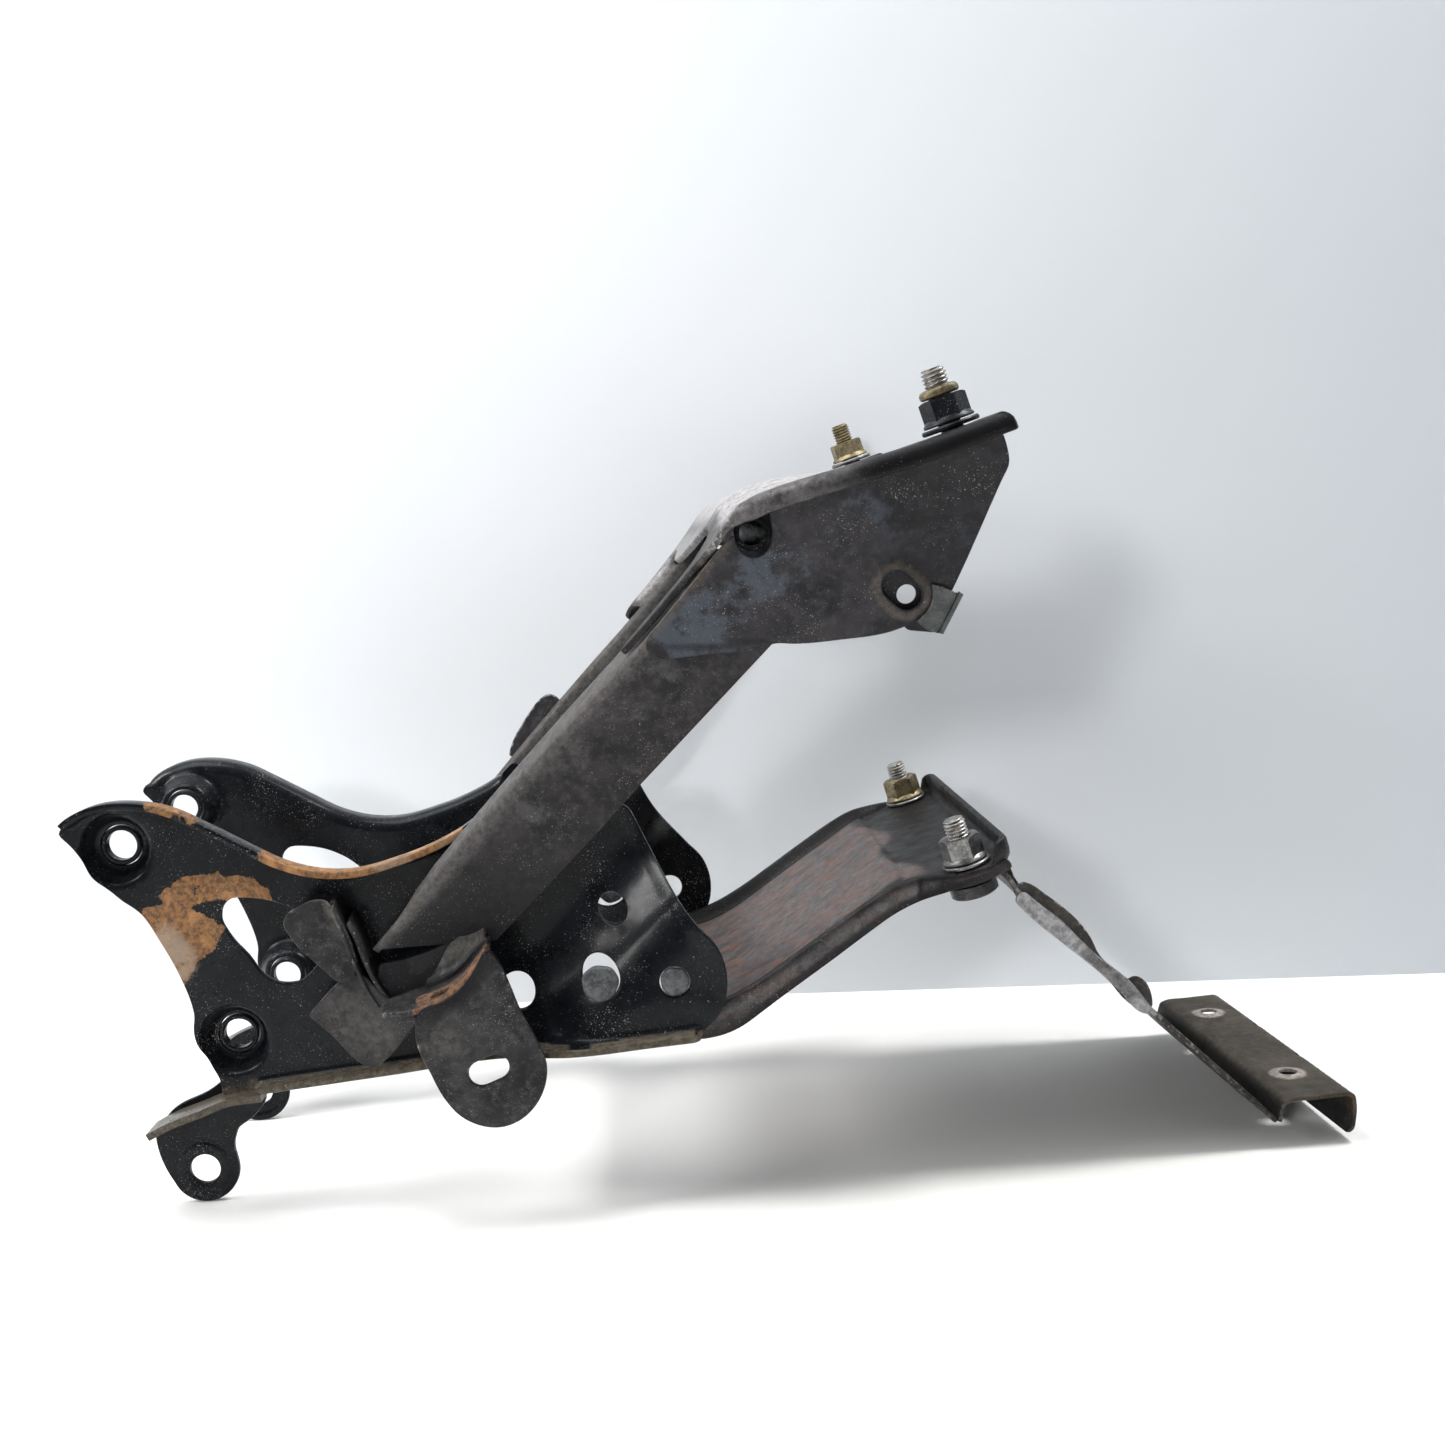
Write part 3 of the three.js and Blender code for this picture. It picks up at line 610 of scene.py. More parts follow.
    # roughness, metal
    rr = N.new("ShaderNodeMapRange")
    L.new(noise(150, 6, 0.6), rr.inputs[0])
    rr.inputs[1].default_value, rr.inputs[2].default_value = 0.3, 0.7
    rr.inputs[3].default_value, rr.inputs[4].default_value = rough
    r1 = math_("ADD", rr.outputs[0], math_("MULTIPLY", rmask, 0.45))
    r1 = math_("ADD", r1, math_("MULTIPLY", dk, 0.2), True)
    L.new(r1, bs.inputs["Roughness"])
    mt = math_("MAXIMUM", math_("MULTIPLY", chip, 0.85), float(metal))
    mt = math_("MULTIPLY", mt, math_("SUBTRACT", 1.0, rmask))
    L.new(mt, bs.inputs["Metallic"])
    bs.inputs["Specular IOR Level"].default_value = spec
    bs.inputs["Coat Weight"].default_value = coat
    bs.inputs["Coat Roughness"].default_value = coat_rough
    # relief
    hgt = math_("ADD", math_("MULTIPLY", med, 0.5), math_("MULTIPLY", noise(900, 4, 0.6), 0.35 * fine))
    hgt = math_("SUBTRACT", hgt, math_("MULTIPLY", chip, 0.35))
    hgt = math_("ADD", hgt, math_("MULTIPLY", math_("MULTIPLY", rmask, noise(600, 5, 0.7)), 1.3))
    bp = N.new("ShaderNodeBump")
    bp.inputs["Strength"].default_value = bump
    bp.inputs["Distance"].default_value = 0.0006
    L.new(hgt, bp.inputs["Height"])
    L.new(bp.outputs[0], bs.inputs["Normal"])
    m.diffuse_color = (*base, 1)
    return m


RUST = ((0.285, 0.145, 0.06), (0.115, 0.064, 0.038))
TANC = (0.115, 0.098, 0.074)
M_PLATE = steel("plate_black_paint", (0.0075, 0.0088, 0.0112), (0.0035, 0.0042, 0.0055), rough=(0.22, 0.4), coat=0.12, spec=0.1, chips=0.05, rust=0.0, rust_cols=RUST, dust=0.2, mottle=0.15, bump=0.16, scratch=0.1, edge_gain=0.2, tan_and_highlight_col=TANC)
M_ARM = steel("arm_worn_paint", (0.031, 0.0275, 0.0295), (0.0085, 0.0083, 0.01), rough=(0.42, 0.64), metal=0.1, chips=0.1, rust=0.2, rust_cols=((0.075, 0.045, 0.034), (0.038, 0.028, 0.025)), dust=0.14, mottle=0.75, mottle_scale=75, bump=0.3, scratch=0.2, edge_gain=0.35, bare=(0.26, 0.25, 0.24), spots=0.5, spot_col=(0.07, 0.066, 0.068), tan_and_highlight_col=(0.16, 0.15, 0.14))
M_GUSSET = steel("gusset_mottled", (0.032, 0.029, 0.032), (0.0095, 0.0095, 0.0115), rough=(0.42, 0.62), metal=0.15, chips=0.12, rust=0.26, rust_cols=((0.085, 0.055, 0.043), (0.04, 0.03, 0.027)), dust=0.16, mottle=0.7, mottle_scale=70, bump=0.35, scratch=0.15, spots=0.95, spot_col=(0.066, 0.078, 0.098), edge_gain=0.3, bare=(0.3, 0.3, 0.31), tan_and_highlight_col=(0.16, 0.13, 0.1))
M_BRIDGE = steel("bridge_worn", (0.06, 0.056, 0.053), (0.024, 0.023, 0.023), rough=(0.32, 0.52), metal=0.25, chips=0.22, rust=0.2, rust_cols=((0.08, 0.055, 0.042), (0.04, 0.03, 0.027)), dust=0.12, mottle=0.5, mottle_scale=70, bump=0.3, scratch=0.3, edge_gain=0.22, bare=(0.4, 0.38, 0.36), tan_and_highlight_col=(0.5, 0.475, 0.48), shade_col=(0.008, 0.008, 0.009))
M_TRAY = steel("tray_worn", (0.058, 0.053, 0.053), (0.022, 0.0205, 0.0215), rough=(0.34, 0.54), metal=0.3, chips=0.16, rust=0.12, rust_cols=((0.11, 0.06, 0.045), (0.06, 0.038, 0.032)), dust=0.14, mottle=0.45, mottle_scale=80, bump=0.3, scratch=0.5, streak=0.95, streak_col=(0.165, 0.08, 0.055), edge_gain=0.22, bare=(0.42, 0.4, 0.39), tan_and_highlight_col=(0.155, 0.145, 0.147), shade_col=(0.008, 0.008, 0.0088))
M_TAB = steel("tab_worn", (0.043, 0.041, 0.042), (0.0125, 0.0122, 0.0128), rough=(0.4, 0.6), metal=0.15, chips=0.08, rust=0.22, rust_cols=((0.19, 0.105, 0.06), (0.06, 0.042, 0.034)), dust=0.16, mottle=0.8, mottle_scale=70, bump=0.35, scratch=0.2, edge_gain=0.3, spots=0.7, spot_col=(0.085, 0.083, 0.083), bare=(0.36, 0.34, 0.32), tan_and_highlight_col=(0.15, 0.14, 0.13))
M_HANGER = steel("hanger_worn", (0.06, 0.054, 0.05), (0.026, 0.023, 0.021), rough=(0.35, 0.55), metal=0.3, chips=0.2, rust=0.3, rust_cols=((0.12, 0.075, 0.05), (0.055, 0.038, 0.03)), dust=0.12, mottle=0.6, bump=0.35, scratch=0.3, edge_gain=0.3, bare=(0.45, 0.43, 0.41), tan_and_highlight_col=(0.4, 0.4, 0.41))
M_CHANNEL = steel("channel_rusty", (0.057, 0.046, 0.033), (0.028, 0.0228, 0.0165), rough=(0.42, 0.62), metal=0.2, chips=0.12, rust=0.36, rust_cols=((0.12, 0.072, 0.038), (0.058, 0.038, 0.025)), dust=0.14, mottle=0.5, mottle_scale=60, bump=0.3, scratch=0.3, edge_gain=0.3, bare=(0.42, 0.4, 0.38), tan_and_highlight_col=(0.42, 0.38, 0.33), shade_col=(0.014, 0.014, 0.015))
M_ZINC = steel("zinc_hardware", (0.3, 0.3, 0.295), (0.11, 0.11, 0.108), rough=(0.28, 0.48), metal=0.9, chips=0.3, rust=0.14, rust_cols=((0.15, 0.1, 0.06), (0.08, 0.06, 0.04)), dust=0.12, mottle=0.4, mottle_scale=300, bump=0.25, scratch=0.3, edge_gain=0.3, bare=(0.7, 0.69, 0.66), fine=2)
M_BOLT = steel("bright_thread", (0.55, 0.53, 0.5), (0.22, 0.21, 0.2), rough=(0.22, 0.4), metal=0.95, chips=0.4, rust=0.12, rust_cols=((0.15, 0.1, 0.06), (0.08, 0.06, 0.04)), dust=0.1, mottle=0.4, mottle_scale=320, bump=0.2, scratch=0.2, edge_gain=0.3, bare=(0.8, 0.78, 0.75), fine=2)
M_GOLD = steel("yellow_zinc", (0.33, 0.275, 0.16), (0.13, 0.105, 0.065), rough=(0.34, 0.54), metal=0.7, chips=0.3, rust=0.16, rust_cols=((0.14, 0.1, 0.06), (0.07, 0.055, 0.04)), dust=0.16, mottle=0.5, mottle_scale=320, bump=0.3, scratch=0.2, edge_gain=0.3, bare=(0.66, 0.62, 0.52), fine=2)
M_COLLAR = steel("tarnished_collar", (0.2, 0.165, 0.09), (0.07, 0.055, 0.035), rough=(0.36, 0.56), metal=0.7, chips=0.35, rust=0.3, rust_cols=((0.12, 0.08, 0.05), (0.05, 0.04, 0.03)), dust=0.16, mottle=0.6, mottle_scale=420, bump=0.5, scratch=0.2, edge_gain=0.3, bare=(0.6, 0.57, 0.48), fine=2)
M_NUT = steel("black_nut", (0.010, 0.012, 0.017), (0.005, 0.006, 0.008), rough=(0.25, 0.45), metal=0.2, chips=0.04, rust=0.05, dust=0.16, mottle=0.3, mottle_scale=300, bump=0.2, scratch=0.15, edge_gain=0.24, bare=(0.3, 0.3, 0.3), fine=2)
M_WELD = steel("ground_steel", (0.13, 0.135, 0.14), (0.055, 0.058, 0.062), rough=(0.4, 0.6), metal=0.4, chips=0.1, rust=0.2, rust_cols=((0.1, 0.07, 0.05), (0.05, 0.04, 0.035)), dust=0.15, mottle=0.6, mottle_scale=260, bump=0.4, scratch=0.2, edge_gain=0.2, bare=(0.35, 0.35, 0.35))
M_CLIP = steel("clip_spring_steel", (0.075, 0.08, 0.08), (0.04, 0.043, 0.045), rough=(0.35, 0.55), metal=0.35, chips=0.12, rust=0.2, rust_cols=((0.11, 0.08, 0.055), (0.06, 0.045, 0.035)), dust=0.14, mottle=0.5, mottle_scale=200, bump=0.3, scratch=0.2, edge_gain=0.3, bare=(0.4, 0.39, 0.38))


def blob(p, pts, r):
    """Soft mask round a set of 2-D points or short lines."""
    return 1 - sstep(r * 0.4, r * 1.5, dist_line(p, np.array(pts, float)))


# ------------------------------------------------------------------ side plates
TOP = [[-20, 141], [-16, 146.3], [-10, 150.3], [-2, 153], [9, 153.6], [21, 151.4], [35, 144.8], [48, 138], [60, 132], [72, 128.8], [85, 128.6], [100, 132.5], [115, 138.5], [126, 145], [134, 153]]
LEFT = [[34.4, 43.6], [34.2, 48.1], [30.2, 56.1], [26.1, 62.6], [24.9, 68.3], [25.5, 73.9], [24.6, 78.4], [20.8, 88.9], [14.2, 101.9], [7.6, 112.3], [1.4, 116.8], [-2.7, 120.5], [-7.8, 124.2], [-14.3, 135.2]]
BOTTOM = [[8.6, 32.1], [14.4, 35.3], [28.8, 41.1], [36.4, 44.3], [50, 46.3], [79, 50.4], [116, 56], [152, 65], [187, 70.3], [207.5, 72.6]]
REAR = [[215.6, 81.5], [217.7, 91.5], [216.7, 98.6], [213.2, 105.8], [208, 111], [202.8, 117], [194.3, 129], [188, 140], [183.5, 149], [178, 151.5], [166, 150], [150, 146], [141, 147]]
LIGHTENING = [[36.8, 114], [36.4, 109], [41, 101.5], [46, 96], [50, 90], [56, 86], [64, 86], [70, 92], [73, 100], [71.6, 106], [64, 112], [55, 116], [46, 117.4], [40, 117.4]]


def splay(x, z):
    v = (x - 92) * 0.76 - (z - 100.5) * 0.65
    xs, ys = [48, 56, 72, 80], [0, 4, 23.5, 27.5]
    return sum(np.interp(v + k, xs, ys) for k in (-4.5, -1.5, 1.5, 4.5)) / 4


RUST_A = np.array([[9.1, 113.4], [18.7, 115.1], [29.2, 111.3], [36.5, 106.2], [33, 98.8], [26.7, 94.7], [22.4, 86.6], [18, 92], [13, 101.1]])
RUST_B = np.array([[23.4, 124.3], [35.1, 126.5], [47.4, 124.2], [54, 119.2], [53.8, 114.7], [43.5, 117.6], [31.3, 117], [20, 115], [14, 118]])
TOP_A = np.array([[16, 155], [21, 152.5], [29, 149.5]])
TOP_B = np.array([[57, 134.5], [66, 130.8], [76, 129.2], [90, 129.6]])
TOP_C = np.array([[94, 130.5], [108, 135.3], [122, 142]])


def patch(p, poly, r):
    """Soft mask: full inside the outline, fading out over r mm."""
    d = dist_line(p, poly, True)
    return np.where(inside(p, [poly]), 1.0, 1 - sstep(0, r, d))


def plate_masks(sign):
    def fn(v):
        p = v[:, [0, 2]]
        y = np.abs(v[:, 1])
        shade = np.zeros(len(v))
        if sign < 0:
            r = patch(p, RUST_A, 3.5) * 1.12
            r = np.maximum(r, patch(p, RUST_B, 3.0) * 1.02)
            rim = dist_line(p, np.array(TOP, float)) < 3.4
            r = np.maximum(r, rim * (1 - sstep(2, 8, dist_line(p, TOP_A))) * 0.85)
            r = np.maximum(r, rim * (1 - sstep(3, 7, dist_line(p, TOP_B))) * 1.1)
            r = np.maximum(r, rim * (1 - sstep(2, 6, dist_line(p, TOP_C))) * 0.9)
            pale = np.maximum(patch(p, np.array([[12, 104], [18, 106], [25, 97], [24, 88], [19, 91]]), 4) * 0.75, rim * (1 - sstep(2, 6, dist_line(p, TOP_C))) * 0.35)
        else:
            r = blob(p, [[120, 140], [132, 150]], 8) * 0.15
            pale = np.zeros(len(v))
        low = (dist_line(p, np.array(BOTTOM, float)) < 2.9) * 1.0
        return {"rust": r, "wear": low * 0.08, "tan": low * 0.95, "shade": shade, "pale": pale}

    return fn


def plate_flange(lp):
    top = dist_line(lp, np.array(TOP[1:-1], float))
    low = dist_line(lp, np.array(BOTTOM[4:], float))
    g = np.maximum(1 - sstep(0.6, 4.0, top), 1 - sstep(0.6, 4.0, low))
    F = np.where(top < low, 11.3, 9.8)
    return F, g


plate_outline = smooth_line([*TOP, *REAR[::-1], *BOTTOM[4:][::-1], *LEFT], step=1.5, soft=1.3)
rear_line = np.array(REAR[1:], float)


def plate_bump(p):
    h = np.zeros(len(p))
    for c in (UPPER_BOSS, MIDDLE_BOSS):
        r = np.hypot(p[:, 0] - c[0], p[:, 1] - c[1])
        h += (BOSS_W - WEB_IN) * (1 - sstep(8.4, 13.6, r))
    d = dist_line(p, rear_line)
    h += -0.9 * sstep(2.6, 5.2, d) * sstep(118, 134, p[:, 0]) * sstep(82, 92, p[:, 1])
    for c, r0 in (((177.1, 113.5), 5.2), ((142.5, 82.5), 6.5)):
        r = np.hypot(p[:, 0] - c[0], p[:, 1] - c[1])
        h += 0.5 * (1 - sstep(r0 + 0.5, r0 + 2.5, r))
    return h


plate_feats = [circle(c[0], c[1], r, 48) for c in (UPPER_BOSS, MIDDLE_BOSS) for r in (8.3, 9.0, 9.8, 10.6, 11.4, 12.2, 13.0, 13.8)]
plate_holes = [circle(*UPPER_BOSS, 7.5, 48), circle(*MIDDLE_BOSS, 7.5, 48), smooth_line(LIGHTENING, 1.3, soft=1.5), circle(142.5, 82.5, 6.5), circle(177.1, 113.5, 5.2, 32), circle(173.3, 91.7, 6.8), circle(199.3, 92, 5.4, 32)]
SIDES = (("left", -1), ("right", 1))
for tag, sg in SIDES:
    P = Parts()
    P.add(*sheet(plate_outline, plate_holes, T, lambda a, b, w: np.stack([a, WEB_IN + w + splay(a, b), b], 1), re=0.55, grid=2.6, bump=plate_bump, flange=plate_flange, ri=2.2, feats=plate_feats))
    tip = smooth_line([[8.6, 32.1], [14.4, 35.3], [28.8, 41.1], [36.4, 44.3], [50, 46.3]], 2.0, closed=False, soft=1.0)
    tn = np.gradient(tip, axis=0)
    tn /= np.linalg.norm(tn, axis=1)[:, None]
    S = np.array([[[q[0], y, q[1]] for y in np.linspace(42, 55.0, 5)] for q in tip])
    gv, gf = grid_shell(S, T, flip=False)
    if np.mean(gv[len(gv) // 2 :, 2]) > np.mean(gv[: len(gv) // 2, 2]):
        gv, gf = grid_shell(S, T, flip=True)
    P.add(gv, gf, np.full(len(gv), 0.2))
    P.done(f"plate_{tag}", M_PLATE, [f"side_plate_{tag}"], slot="black_paint", masks=plate_masks(sg), mirror=sg < 0)
    for nm, c in (("upper", UPPER_BOSS), ("middle", MIDDLE_BOSS)):
        y0, y1 = BOSS_W - 1.2, BOSS_W + 3.4
        v, f = lathe([(5.5, y0 + 0.5), (6.0, y0), (6.8, y0), (7.2, y0 + 0.4), (7.25, y1 - 0.5), (6.8, y1), (6.0, y1), (5.5, y1 - 0.5)], 56)
        v = np.stack([c[0] + v[:, 0], v[:, 2], c[1] + v[:, 1]], 1)
        Parts().add(v, f).done(f"{nm}_bolt_sleeve_{tag}", M_PLATE, [f"{nm}_sleeve_{tag}"], slot="black_paint", masks=lambda q: {"rust": np.zeros(len(q)), "wear": np.full(len(q), 0.12)}, mirror=sg < 0, sharp=30)
    ear = [[7.6, 26], [9, 19], [13.3, 9.5]] + [[EAR_HOLE[0] + 12.6 * math.cos(math.radians(a)), EAR_HOLE[1] + 12.6 * math.sin(math.radians(a))] for a in (200, 220, 240, 260, 280, 300, 320, 340, 0, 20)] + [[36.3, 22], [38, 29], [44, 33.5], [48.5, 39], [48.5, 49.5], [36, 49], [28, 43.5], [14, 36]]

    def ear_bump(p):
        r = np.hypot(p[:, 0] - EAR_HOLE[0], p[:, 1] - EAR_HOLE[1])
        return 0.45 * (sstep(6.2, 7.2, r) * (1 - sstep(9.2, 10.4, r)))

    P = Parts()
    P.add(*sheet(smooth_line(ear, 1.3, soft=1.0), [circle(*EAR_HOLE, BOLT_R, 44)], T, lambda a, b, w: np.stack([a, 39 + w, b], 1), re=0.5, grid=2.4, bump=ear_bump, feats=[circle(*EAR_HOLE, r, 44) for r in (6.2, 6.8, 7.4, 9.2, 9.9, 10.5)]))
    P.done(f"ear_{tag}", M_PLATE, [f"lower_ear_{tag}"], slot="black_paint", masks=lambda q: {"rust": np.zeros(len(q)), "wear": np.full(len(q), 0.1)}, mirror=sg < 0)
    welds = [("front_plug_weld", 173.3, 91.7, 6.4)] + ([("rear_plug_weld", 199.3, 92.0, 5.0)] if sg < 0 else [])
    for nm, cx, cz, r in welds:
        prof = [(0.01, 72.9), (r, 72.9), (r, 74.2), (r * 0.86, 74.9), (r * 0.45, 74.7), (0.01, 74.8)]
        v, f = lathe(prof, 48, lambda th, rr, h: rr * (1 + 0.03 * np.sin(3 * th) + 0.02 * np.sin(7 * th + 1)))
        v = np.stack([cx + v[:, 0], v[:, 2], cz + v[:, 1]], 1)
        Parts().add(v, f).done(f"{nm}_bead_{tag}", M_WELD, [f"{nm}_{tag}"], slot="worn_light_steel", masks=lambda q: {"rust": np.full(len(q), 0.1), "wear": np.full(len(q), 0.2)}, mirror=sg < 0, sharp=60)

# ------------------------------------------------------------------ arms
ARM_U = [[92.3, 101], [117.1, 130.5], [140.6, 158.4], [164.9, 186.1], [188.1, 212], [203.9, 231.4], [211, 241]]
ARM_L = [[136.5, 104.5], [173.9, 147], [187.7, 163.5], [214, 193.4], [231.2, 213]]
ARM_IL = [[94.5, 100.5], [104, 108.0], [113, 121.5], [126, 118.5], [146, 138], [168, 165], [187.7, 187], [206, 207.5], [222, 226]]


def at_share(line, s):
    line = np.asarray(line, float)
    d = np.r_[0, np.cumsum(np.linalg.norm(np.diff(line, axis=0), axis=1))]
    return np.stack([np.interp(np.asarray(s) * d[-1], d, line[:, k]) for k in range(2)], -1)


ns = 80
ss = np.linspace(0, 1, ns)
au = at_share(smooth_line(ARM_U, 2, closed=False, soft=2), ss)
al = at_share(ARM_L, ss)
ail = at_share(ARM_IL, ss)
secs = []
adir = np.gradient(au, axis=0)
adir /= np.linalg.norm(adir, axis=1)[:, None]
for i in range(ns):
    u, l, k = au[i], al[i], ail[i]
    lift_ = 3.4 * float(sstep(0.06, 0.22, ss[i]))
    a = [l[0], arm_out(l[1]), l[1]]
    b = [u[0], arm_out(u[1]), u[1]]
    c = [u[0], float(arm_in(u[1])) if arm_out(u[1]) - arm_in(u[1]) > 3.2 else arm_out(u[1]) - 3.2, u[1]]
    d = [k[0], c[1] + (float(arm_in(k[1])) - float(arm_in(u[1]))) * (1 if u[0] > 113 else 0), k[1]]
    c = [c[0] - adir[i, 1] * lift_, c[1], c[2] + adir[i, 0] * lift_]
    if np.linalg.norm(np.array(d) - c) < 1.5:
        d = [c[0] + 1.2, c[1], c[2] - 1.2]
    secs.append(fillet_path([a, b, c, d], [4.2, 3.6], [8, 4, 4], arc=7))
arm_grid = np.array(secs)


def arm_masks(v):
    p = v[:, [0, 2]]
    d = dist_line(p, np.array(ARM_U, float))
    wear = (1 - sstep(0.8, 3.0, d)) * 0.3
    # tan along the top edge: partly wear, partly a painted highlight on the rounded bend that faces the light
    return {"rust": 0.12 + 0.0 * d, "wear": wear, "tan": (1 - sstep(2.5, 5.0, d)) * 0.5, "shade": 0.85 * sstep(165, 112, p[:, 1]) * sstep(2, 8, d), "panel": 0.6 * blob(p, [[150, 160], [190, 200]], 12)}


for tag, sg in SIDES:
    gv, gf = grid_shell(arm_grid, T)
    outer_mean = gv[: len(gv) // 2, 1].mean()
    inner_mean = gv[len(gv) // 2 :, 1].mean()
    P = Parts()
    gv, gf = grid_shell(arm_grid, T, flip=False)
    h = len(gv) // 2
    # the shell must grow to the inside of the folded section
    cen = arm_grid.reshape(-1, 3).mean(0)
    if np.linalg.norm(gv[h:] - cen, axis=1).mean() > np.linalg.norm(gv[:h] - cen, axis=1).mean():
        gv, gf = grid_shell(arm_grid, T, flip=True)
    P.add(gv, gf)
    P.done(f"arm_folded_{tag}", M_ARM, [f"arm_{tag}"], slot="worn_dark_steel", masks=arm_masks, mirror=sg < 0, bevel=0.45)

# ------------------------------------------------------------------ gussets and clip nuts
GUS = [[190, 213.6], [194.5, 219.6], [200.8, 227.2], [206.9, 235.2], [214.5, 244.6], [217.6, 247.6], [218, 244], [220.8, 240.6], [224.5, 239.8], [227.9, 241.8], [229, 246], [228.9, 250], [227.8, 253.6], [231.1, 256.7],
       [249.2, 262.1], [267, 268.6], [276, 272], [296.2, 279.2], [297.6, 277.2], [299.6, 272.5], [300.5, 268.7], [298.9, 264.2], [286, 227.9],
       [284.4, 224], [267.8, 216.2], [252, 213.7], [236.9, 212.4], [231.2, 212.6], [226.4, 210.9], [207.2, 208.7], [194.5, 207.3], [189.7, 210.6]]
SLOT_C = (270.6, 229.6)
SLOT_A = -0.72


def slot_d(p):
    c, s = math.cos(SLOT_A), math.sin(SLOT_A)
    return dist_line(p, np.array([[SLOT_C[0] - 2.6 * c, SLOT_C[1] - 2.6 * s], [SLOT_C[0] + 2.6 * c, SLOT_C[1] + 2.6 * s]]))


def gus_bump(p):
    d = slot_d(p)
    return 0.9 * (1 - sstep(6.0, 8.4, d))


gus_out = smooth_line(GUS, 1.3, soft=0.9)
gus_map = lambda a, b, w: np.stack([a, gusset_out(b) - T + w, b], 1)


def gus_masks(v):
    p = v[:, [0, 2]]
    d = slot_d(p)
    r = 0.12 + 0.16 * blob(p, [[240, 225], [262, 232]], 12) + 0.1 * blob(p, [[198, 212], [228, 218]], 8)
    ring = sstep(4.9, 5.6, d) * (1 - sstep(7.2, 8.4, d))
    gl = np.array([[190, 213.6], [200.8, 227.2], [214.5, 244.6]])
    seam = 1 - sstep(0.8, 2.6, dist_line(p, gl))
    return {"rust": r, "wear": 0.12 * ring, "tan": 0.35 * ring + 0.4 * seam, "shade": np.maximum.reduce([(d < 5.0) * 0.8, 0.5 * sstep(246, 276, p[:, 0] + 0.3 * (p[:, 1] - 240)) * (1 - ring), 0.75 * (1 - sstep(0.6, 2.0, dist_line(p, np.array([[191, 212.4], [196, 210.4], [207, 211], [228, 214]]))))]), "panel": np.maximum(blob(p, [[200, 217], [212, 224], [224, 236], [236, 237]], 9), 0.8 * blob(p, [[248, 250], [256, 254]], 8))}


for tag, sg in SIDES:
    P = Parts()
    P.add(*sheet(gus_out, [slot_loop(*SLOT_C, 2.6, 4.6, SLOT_A)], T, gus_map, re=0.6, grid=2.4, bump=gus_bump, feats=[slot_loop(*SLOT_C, 2.6, r, SLOT_A, 16) for r in (5.4, 6.2, 7.0, 7.8, 8.6)]))
    P.done(f"gusset_plate_{tag}", M_GUSSET, [f"gusset_{tag}"], slot="worn_dark_steel", masks=gus_masks, mirror=sg < 0)
    P = Parts()
    clipf = smooth_line([[279.6, 231.9], [287.6, 228.9], [288.4, 228.2], [283.2, 216.3], [282, 216.3], [275.6, 219.7], [278.4, 222.4], [280.3, 226.2], [280.2, 229.4]], 1.0, soft=0.6)
    clip = smooth_line([[259, 232], [269, 241.5], [287.8, 229], [288.9, 228.2], [283.6, 215.8], [274, 216.6]], 1.2, soft=0.8)
    P.add(*sheet(clipf, [], 1.2, lambda a, b, w: np.stack([a, gusset_out(b) + 0.25 + w * 0.9, b], 1), re=0.3, grid=2.0))
    P.add(*sheet(clip, [circle(272.6, 228.4, 3.1, 28)], 1.2, lambda a, b, w: np.stack([a, gusset_out(b) - T - 1.5 + w, b], 1), re=0.3, grid=2.6))
    edge = smooth_line([[288.6, 229], [283.3, 216.1]], 2.0, closed=False, soft=0)
    nrm = unit(np.array([12.9, -5.3]))
    rows = []
    for q in edge:
        sec = []
        for k in range(9):
            t = -math.pi / 2 + k / 8 * math.pi
            yy = gusset_out(q[1]) - T / 2 + 0.35 + 3.1 * math.sin(t)
            off = 1.9 * math.cos(t)
            sec.append([q[0] + nrm[0] * off, yy, q[1] + nrm[1] * off])
        rows.append(sec)
    gv, gf = grid_shell(np.array(rows), 1.1)
    h = len(gv) // 2
    if (gv[h:, 0] - gv[:h, 0]).mean() > 0:
        gv, gf = grid_shell(np.array(rows), 1.1, flip=True)
    P.add(gv, gf)
    P.done(f"clip_nut_spring_{tag}", M_CLIP, [f"clip_nut_{tag}"], slot="worn_light_steel", masks=lambda q: {"rust": np.full(len(q), 0.12), "wear": np.full(len(q), 0.12), "shade": 0.95 * (np.abs(q[:, 1]) < gusset_out(q[:, 2]) - T - 0.1) * (q[:, 0] < 283)}, mirror=sg < 0)

# ------------------------------------------------------------------ top bridge
BR = [[186, 214.6], [196, 226.6], [205, 238], [212, 247.8], [218.2, 256.3], [224, 259.3], [231, 261.9], [249, 267.4], [267, 273.03], [299.2, 284.75]]
br = smooth_line(BR, 1.0, closed=False, corner=50, soft=1.6)
br_d = np.r_[0, np.cumsum(np.linalg.norm(np.diff(br, axis=0), axis=1))]
br_t = np.gradient(br, axis=0)
br_t /= np.linalg.norm(br_t, axis=1)[:, None]


def u_at(x):
    return float(np.interp(x, br[:, 0], br_d))


def br_pt(u):
    u = np.asarray(u, float)
    x, z = np.interp(u, br_d, br[:, 0]), np.interp(u, br_d, br[:, 1])
    tx, tz = np.interp(u, br_d, br_t[:, 0]), np.interp(u, br_d, br_t[:, 1])
    over = np.maximum(u - br_d[-1], 0) + np.minimum(u, 0)
    return x + tx * over, z + tz * over, tx, tz


def br_map(a, b, w):
    # w = 0 is the top face, growing downwards
    x, z, tx, tz = br_pt(a)
    y = b / 130 * bridge_out(z)
    return np.stack([x + tz * w, y, z - tx * w], 1)


uu = {k: u_at(k) for k in (186, 196, 205, 212, 218.2, 224, 231, 249, 267, 284.5)}
uend = br_d[-1]


def leg_b(u, off=0.5):
    x, z, _, _ = br_pt(u)
    return float((arm_in(z) - off) / bridge_out(z) * 130)


